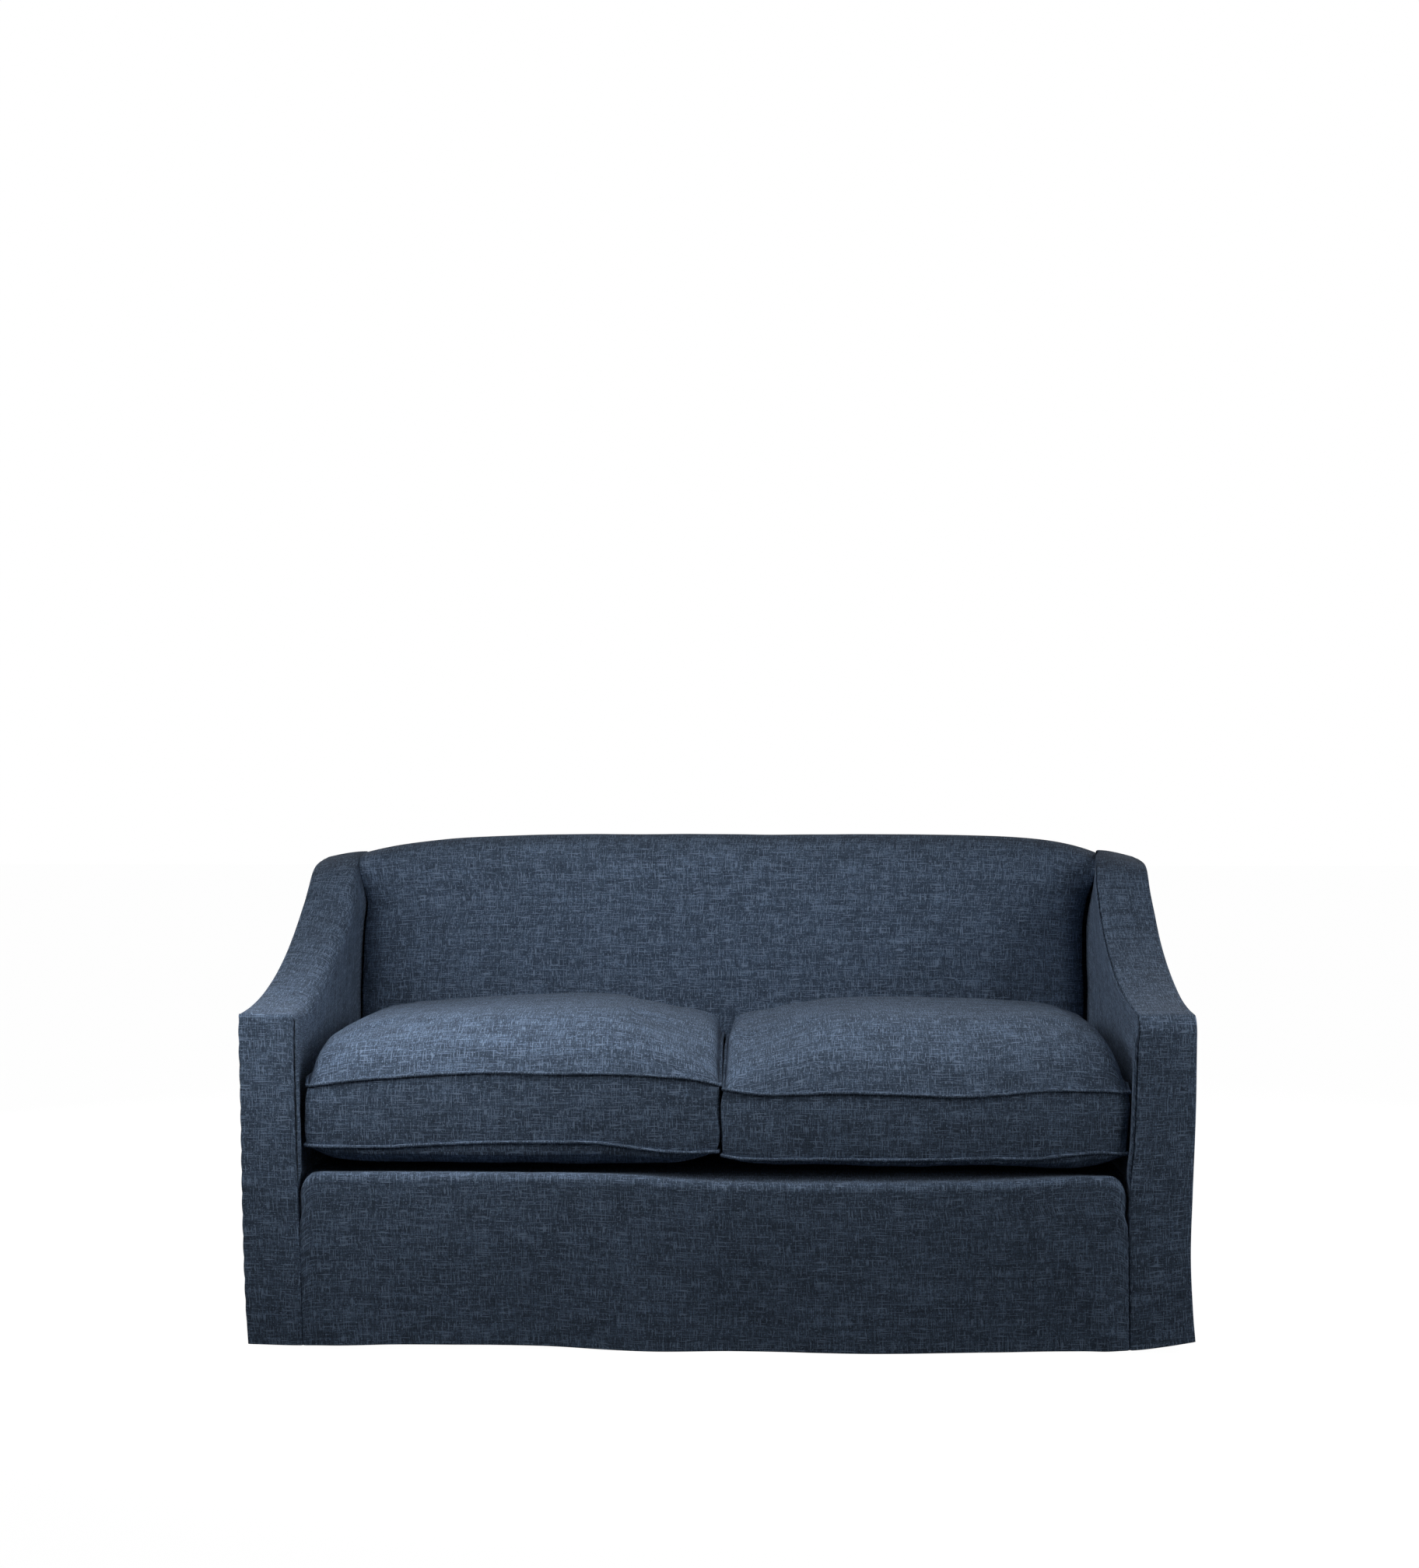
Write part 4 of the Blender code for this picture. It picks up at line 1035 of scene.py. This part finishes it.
#   shift, seed: where on the bolt it is cut, and where its unevenness starts
#   sides, room: places across of the side seams' outer faces, and of the space it has
#   draw, pull: how far the front and back, and the left and the right seams, are drawn in halfway
#   top, bottom: height of the plain seam at the sides, rise in the middle, and fall to the right
#   crown: share across from -1 to 1, height over the top seam
#   square: how flat its underside is out to the left and the right
#   rise: how high the left and the right top seams stand, where in full, held to where, gone where
#   corner_top, corner_bottom: place across of the front seams' ends
#   left_edge, right_edge: share of the boxing's height, place across of its front corner
#   lip: place across, lowest point that shows under the front
#   front_top, front_bottom: place across, height of the front seam
CUSHIONS = {
    "cushion_left": {
        "shift": (35.0, 1.0),
        "seed": 170.0,
        "sides": (-0.7080, 0.0070),
        "draw": 0.006,
        "top": (0.441, 0.022),
        "bottom": (0.341, 0.006, 0.006),
        "crown": (
            (-1.0, 0.071), (-0.93, 0.0755), (-0.85, 0.081), (-0.7, 0.0837), (-0.5, 0.0845),
            (-0.25, 0.0863), (0.0, 0.0891), (0.25, 0.0930), (0.5, 0.0930), (0.7, 0.0814),
            (0.85, 0.0670), (0.93, 0.0560), (1.0, 0.0540),
        ),
        "square": (6.5, 4.5),
        "room": (-0.7085, 0.0040),
        "rise": ((0.013, -0.9, -0.3, 0.6), (0.055, -0.35, 0.1, 0.9)),
        "pull": (0.006, 0.0025),
        "corner_top": (-0.6945, 0.0010),
        "corner_bottom": (-0.6980, -0.0030),
        "left_edge": ((0.0, -0.7005), (0.5, -0.7014), (1.0, -0.6990)),
        "right_edge": ((0.0, 0.0010), (0.3, 0.0026), (0.65, 0.0002), (1.0, 0.0025)),
        "lip": (
            (-0.695, 0.3290), (-0.662, 0.3170), (-0.620, 0.3135), (-0.560, 0.3130), (-0.300, 0.3120),
            (-0.085, 0.3110), (-0.030, 0.3170), (0.002, 0.3240),
        ),
        "front_top": (
            (-0.691, 0.4440), (-0.651, 0.4500), (-0.612, 0.4545), (-0.540, 0.4596), (-0.477, 0.4640),
            (-0.410, 0.4670), (-0.345, 0.4665), (-0.293, 0.4650), (-0.1875, 0.4660), (-0.105, 0.4622),
            (-0.042, 0.4572), (0.004, 0.4470),
        ),
        "front_bottom": (
            (-0.702, 0.3431), (-0.675, 0.3412), (-0.622, 0.3405), (-0.556, 0.3410), (-0.477, 0.3450),
            (-0.398, 0.3480), (-0.293, 0.3490), (-0.214, 0.3489), (-0.174, 0.3451), (-0.1245, 0.3380),
            (-0.063, 0.3330), (0.000, 0.3345),
        ),
    },
    "cushion_right": {
        "shift": (45.0, 1.3),
        "seed": 180.0,
        "sides": (0.0045, 0.6965),
        "draw": 0.008,
        "top": (0.437, -0.006),
        "bottom": (0.331, -0.009, -0.001),
        "crown": (
            (-1.0, 0.055), (-0.93, 0.0610), (-0.85, 0.0765), (-0.7, 0.0965), (-0.5, 0.1122),
            (-0.25, 0.1187), (0.0, 0.1195), (0.25, 0.1181), (0.5, 0.1136), (0.7, 0.1075),
            (0.85, 0.1000), (0.93, 0.0920), (1.0, 0.066),
        ),
        "square": (4.5, 8.0),
        "room": (0.0045, 0.6960),
        "rise": ((0.055, -0.35, 0.1, 0.9), (0.010, -0.9, -0.3, 0.6)),
        "pull": (0.0025, 0.008),
        "corner_top": (0.0110, 0.6907),
        "corner_bottom": (0.0088, 0.6865),
        "left_edge": ((0.0, 0.0055), (0.3, 0.0060), (0.65, 0.0046), (1.0, 0.0066)),
        "right_edge": ((0.0, 0.6870), (0.15, 0.6858), (0.45, 0.6882), (0.75, 0.6930), (1.0, 0.6920)),
        "lip": (
            (0.010, 0.3160), (0.045, 0.3125), (0.110, 0.3120), (0.300, 0.3095), (0.460, 0.3105),
            (0.590, 0.3060), (0.640, 0.3100), (0.685, 0.3220),
        ),
        "front_top": (
            (0.013, 0.4400), (0.049, 0.4345), (0.084, 0.4315), (0.147, 0.4325), (0.210, 0.4340),
            (0.297, 0.4322), (0.384, 0.4285), (0.432, 0.4290), (0.479, 0.4322), (0.526, 0.4375),
            (0.584, 0.4398), (0.652, 0.4390), (0.690, 0.4365),
        ),
        "front_bottom": (
            (0.009, 0.3280), (0.042, 0.3225), (0.180, 0.3212), (0.337, 0.3205), (0.463, 0.3236),
            (0.542, 0.3245), (0.590, 0.3305), (0.637, 0.3350), (0.689, 0.3330),
        ),
    },
}


def spread(t):
    """Places across a cushion panel, a little closer together towards its seams."""
    return 0.15 * t + 0.85 * sin(t * pi / 2)


def outline(sizes, a, b, share):
    """Across and depth for a and b from -1 to 1, drawn in between the corners.

    share is the height on the boxing, from 0 at the bottom seam to 1 at the top seam."""
    left, right = sizes["sides"]
    half_width = (right - left) / 2 - 2 * PIPING
    half_depth = (CUSHION_BACK - CUSHION_FRONT) / 2 - 2 * PIPING
    across = (left + right) / 2 + a * (half_width - sizes["pull"][a > 0] * (1 - b * b))
    depth = b * (half_depth - sizes["draw"] * (1 - a * a))
    if b > 0:
        cut = CORNER_CUT * abs(a) ** 7 * b**7
        across -= a * half_width * cut
        depth -= half_depth * cut
    else:
        corner = blend(sizes["corner_bottom"][a > 0], sizes["corner_top"][a > 0], share)
        plain = (left + right) / 2 + (half_width if a > 0 else -half_width)
        across += (corner - plain) * abs(a) ** 9 * abs(b) ** 10
        depth += CORNER_ROUND * abs(a) ** 30 * abs(b) ** 4
    return across, (CUSHION_FRONT + CUSHION_BACK) / 2 + depth


def seam_height(sizes, a, b, upper):
    across = outline(sizes, a, b, 1.0 if upper else 0.0)[0]
    if upper:
        plain = sizes["top"][0] + sizes["top"][1] * (1 - a * a)
        rise, full, hold, gone = sizes["rise"][a > 0]
        plain += rise * abs(a) ** 6 * ease(b, -1.0, full) * (1 - ease(b, hold, gone))
    else:
        plain = sizes["bottom"][0] + sizes["bottom"][1] * (1 - a * a) - sizes["bottom"][2] * a
    shown = along(sizes["front_top" if upper else "front_bottom"], across)
    early = ease(b, -1.0, -0.9) * abs(a) ** 6 if upper else 0.0
    return blend(shown, plain, max(ease(b, -1.0, 0.4), early))


def crown_height(sizes, a, b):
    edge = (1 - abs(a) ** EDGE_SQUARE) ** 0.5
    return along(sizes["crown"], a) * edge * (1 - abs(b) ** CROWN_SQUARE) ** CROWN_ROUND


def underside(sizes, a, b, across, depth, low):
    """Height of the bottom: round under the front seam, then sloping gently to the deck."""
    side = (1 - abs(a) ** sizes["square"][a > 0]) ** CROWN_ROUND
    in_lip = min(max(depth - CUSHION_FRONT - 2 * PIPING, 0.0) / LIP_RUN, 1.0)
    lip = low - (low - along(sizes["lip"], across)) * (1 - (1 - in_lip) ** 2) ** 0.5
    rest = blend(lip, DECK + CUSHION_REST, ease(depth, CUSHION_FRONT, REST_FROM))
    rear = (1 - max(b, 0.0) ** CROWN_SQUARE) ** CROWN_ROUND
    return max(blend(low, rest, side * rear), DECK + CUSHION_REST)


def cushion_place(sizes, a, b, c, fill):
    share = (c + 1) / 2
    across, depth = outline(sizes, a, b, share)
    low, high = seam_height(sizes, a, b, False), seam_height(sizes, a, b, True)
    if c > 0.99:
        return spot_at(across, depth, high + fill * crown_height(sizes, a, b))
    if c < -0.99:
        return spot_at(across, depth, underside(sizes, a, b, across, depth, low))
    side = 1 if a > 0 else -1
    corner = blend(sizes["corner_bottom"][a > 0], sizes["corner_top"][a > 0], share)
    full = along(sizes["right_edge" if a > 0 else "left_edge"], share) - corner
    full = blend(0.002 * side, full, abs(b) ** 10 if b < 0 else 0.0)
    round_off = (1 - c**6) if abs(c) < 1 else 0.0
    across += full * round_off * abs(a) ** 24
    depth += (0.002 if b > 0 else -0.002) * (1 - c * c) * abs(b) ** 24
    return spot_at(across, depth, blend(low, high, share))


FILL = 0.95  # share of the crown that the cushion starts from, before the filling swells it


def cushion_shape(name, sizes):
    """A cube cut into cells, with each vertex's place on the cube beside it."""
    mesh = bmesh.new()
    bmesh.ops.create_cube(mesh, size=2.0)
    for axis, count in enumerate(CUSHION_CELLS):
        lines = [edge for edge in mesh.edges if abs((edge.verts[1].co - edge.verts[0].co)[axis]) > 1.9]
        bmesh.ops.subdivide_edges(mesh, edges=lines, cuts=count - 1, use_grid_fill=True)
    places = [vertex.co.copy() for vertex in mesh.verts]
    for vertex, cube in zip(mesh.verts, places):
        vertex.co = cushion_place(sizes, spread(cube.x), spread(cube.y), cube.z, FILL)
    bmesh.ops.recalc_face_normals(mesh, faces=mesh.faces)
    return new_object(name, mesh), places


FRAMES = 20  # steps of the filling simulation
MOST_MOVE = {"top": 0.006, "side": 0.0022, "bottom": 0.002}  # how far it may end from its cut shape
#   cloth and filling, as the settings of that simulation
PRESS = dict(
    quality=6, mass=0.35, tension_stiffness=18.0, compression_stiffness=12.0, shear_stiffness=6.0,
    bending_stiffness=0.6, use_pressure=True, uniform_pressure_force=4.0, vertex_group_mass="held",
    shrink_min=-0.006,
)


def swell_up(item, places, sizes):
    """Lets the filling press the cloth out between its seams, then keeps the result."""
    held = item.vertex_groups.new(name="held")
    for index, cube in enumerate(places):
        on_seam = abs(abs(cube.z) - 1) < 0.01 and max(abs(cube.x), abs(cube.y)) > 0.99
        lying = cube.z < -0.99 and item.data.vertices[index].co.z < DECK + CUSHION_REST + 0.001
        if on_seam or lying:
            held.add([index], 1.0, "REPLACE")
    press = item.modifiers.new("press", "CLOTH")
    for setting, value in PRESS.items():
        setattr(press.settings, setting, value)
    press.settings.effector_weights.gravity = 0.0
    press.point_cache.frame_start = 1
    press.point_cache.frame_end = FRAMES
    scene = bpy.context.scene
    for frame_number in range(1, FRAMES + 1):
        scene.frame_set(frame_number)
    swollen = item.evaluated_get(bpy.context.evaluated_depsgraph_get()).to_mesh()
    moved = [vertex.co.copy() for vertex in swollen.vertices]
    item.evaluated_get(bpy.context.evaluated_depsgraph_get()).to_mesh_clear()
    item.modifiers.remove(press)
    scene.frame_set(1)
    for vertex, place, cube in zip(item.data.vertices, moved, places):
        full = cushion_place(sizes, spread(cube.x), spread(cube.y), cube.z, 1.0)
        most = MOST_MOVE["top" if cube.z > 0.99 else "bottom" if cube.z < -0.99 else "side"]
        way = place - full
        vertex.co = full + way * (most * tanh(way.length / most) / max(way.length, 1e-6))
    item.vertex_groups.remove(held)


def lay_weave(item, places, shift):
    """Weave map in metres, along each panel's cloth from its middle, each from its own part of it."""
    vertices, count = item.data.vertices, CUSHION_CELLS
    cells = [tuple(round((cube[axis] + 1) / 2 * count[axis]) for axis in range(3)) for cube in places]
    grid = {cell: vertices[index].co for index, cell in enumerate(cells)}
    runs = {}
    for side in (0, count[2]):
        for axis in (0, 1):
            for row in range(count[1 - axis] + 1):
                steps = range(count[axis] + 1)
                line = [(row, step, side) if axis else (step, row, side) for step in steps]
                run = lengths([grid[cell] for cell in line])
                for cell, length in zip(line, run):
                    runs[(*cell, axis)] = length - run[count[axis] // 2]
    layer = item.data.uv_layers.new(name="weave")
    for polygon in item.data.polygons:
        corners = [cells[vertex] for vertex in polygon.vertices]
        flat = [axis for axis in range(3) if len({cell[axis] for cell in corners}) == 1]
        for loop, cell, vertex in zip(polygon.loop_indices, corners, polygon.vertices):
            place = vertices[vertex].co
            if 2 in flat and cell[2] in (0, count[2]):
                u, v = runs[(*cell, 0)], runs[(*cell, 1)] + cell[2] * 0.2
            elif 1 in flat:
                u, v = place.x + 3.0, place.z
            else:
                u, v = place.y + 6.0, place.z
            layer.data[loop].uv = (u + shift[0], v + shift[1])


def cushion_relief(item, places, sizes):
    """Seam valleys, the small puckers beside them, and the unevenness of the filling."""
    smooth = [(vertex.co.copy(), vertex.normal.copy()) for vertex in item.data.vertices]
    (left, right), (low, high), seed = sizes["sides"], sizes["room"], sizes["seed"]
    for vertex, (place, normal), cube in zip(item.data.vertices, smooth, places):
        front, rear = place.y + DEPTH / 2 - CUSHION_FRONT, CUSHION_BACK - DEPTH / 2 - place.y
        if abs(cube.z) > 0.99:
            beside = min(place.x - left, right - place.x, front, rear)
            run = place.x if min(front, rear) <= beside else place.y + 2.0
            away = max(beside - FREE_OF_PIPING, 0.0)
            drawn = gathers(run, away, 0.024, 0.0014, 0.010, seed)
            drawn += gathers(run, away, 0.070, 0.0022, 0.040, seed + 3)
        else:
            away = (1 - abs(cube.z)) * 0.05
            run = place.x if abs(cube.y) > 0.99 else place.y + 2.0
            drawn = gathers(run, away, 0.030, 0.0010, 0.010, seed + 1)
        uneven = slack(place.x + place.z, place.y, 0.12, 0.0022, seed + 2)
        calm = ease(away, 0.0, 0.006)
        place = place + normal * (drawn * calm + uneven * calm)
        place.x = min(max(place.x, low), high)
        vertex.co = place


for name, sizes in CUSHIONS.items():
    cushion, places = cushion_shape("boxed_" + name, sizes)
    swell_up(cushion, places, sizes)
    cushion_relief(cushion, places, sizes)
    lay_weave(cushion, places, sizes["shift"])
    cushion.data.shade_smooth()
    cushion.data.materials.append(cover_linen)
    finer = cushion.modifiers.new("finer", "SUBSURF")
    finer.levels = finer.render_levels = 1
    finer.boundary_smooth = "PRESERVE_CORNERS"
    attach(cushion, "root")
    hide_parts(name)

# ---- Piping ----
# Narrow cord covered in the same linen, cut on the bias, and sewn into the top and the bottom
# seam of both cushions.
piping_linen = slub_linen("indigo_slub_linen_on_the_bias", LINEN, turn=pi / 4)
PIPING_OUT = 0.0026  # how far the cord's middle stands out of the seam
PIPING_SIDES, PIPING_STEPS = 14, 160  # faces round the cord, and steps along each side of a cushion


def piping_path(sizes, upper):
    """Points of the cord all round the cushion."""
    corners = [(-1.0, -1.0), (1.0, -1.0), (1.0, 1.0), (-1.0, 1.0), (-1.0, -1.0)]
    loop = []
    for (a0, b0), (a1, b1) in zip(corners, corners[1:]):
        for step in range(PIPING_STEPS):
            share = step / PIPING_STEPS
            loop.append((spread(blend(a0, a1, share)), spread(blend(b0, b1, share))))
    share = 1.0 if upper else 0.0
    seam = [spot_at(*outline(sizes, a, b, share), seam_height(sizes, a, b, upper)) for a, b in loop]
    path = []
    for i, place in enumerate(seam):
        way = seam[(i + 1) % len(seam)] - seam[i - 1]
        out = Vector((way.y, -way.x, 0.0)).normalized()
        run = place.x + 1.7 * place.y
        stray = 0.0005 * noise.noise((run / 0.03, 7.0, 0.0))
        lift = 0.0006 * noise.noise((run / 0.035, 3.0, 5.0))
        path.append(place + out * (PIPING_OUT + stray) + Vector((0.0, 0.0, lift)))
    return path


def sew_piping(name, path, node):
    count = len(path)
    mesh = bmesh.new()
    bmesh.ops.create_grid(mesh, x_segments=PIPING_SIDES, y_segments=count, size=1.0)
    mesh.verts.ensure_lookup_table()
    run = lengths(path + path[:1])
    places = []
    for vertex in mesh.verts:
        side, step = vertex.index % (PIPING_SIDES + 1), vertex.index // (PIPING_SIDES + 1)
        places.append((side, step))
        way = (path[(step + 1) % count] - path[(step - 1) % count]).normalized()
        out = Vector((way.y, -way.x, 0.0)).normalized()
        up = out.cross(way) * -1.0
        turn = side / PIPING_SIDES * 2 * pi
        vertex.co = path[step % count] + (out * cos(turn) + up * sin(turn)) * PIPING
    layer = mesh.loops.layers.uv.new("weave")
    for face in mesh.faces:
        for loop in face.loops:
            side, step = places[loop.vert.index]
            loop[layer].uv = (run[step] + 50.0, side / PIPING_SIDES * 2 * pi * PIPING)
    bmesh.ops.remove_doubles(mesh, verts=mesh.verts, dist=0.00002)
    bmesh.ops.recalc_face_normals(mesh, faces=mesh.faces)
    item = new_object(name, mesh)
    item.data.shade_smooth()
    item.data.materials.append(piping_linen)
    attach(item, "root")
    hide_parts(node)


for name, sizes in CUSHIONS.items():
    sew_piping(name + "_top_cord", piping_path(sizes, True), name + "_piping_top")
    sew_piping(name + "_bottom_cord", piping_path(sizes, False), name + "_piping_bottom")
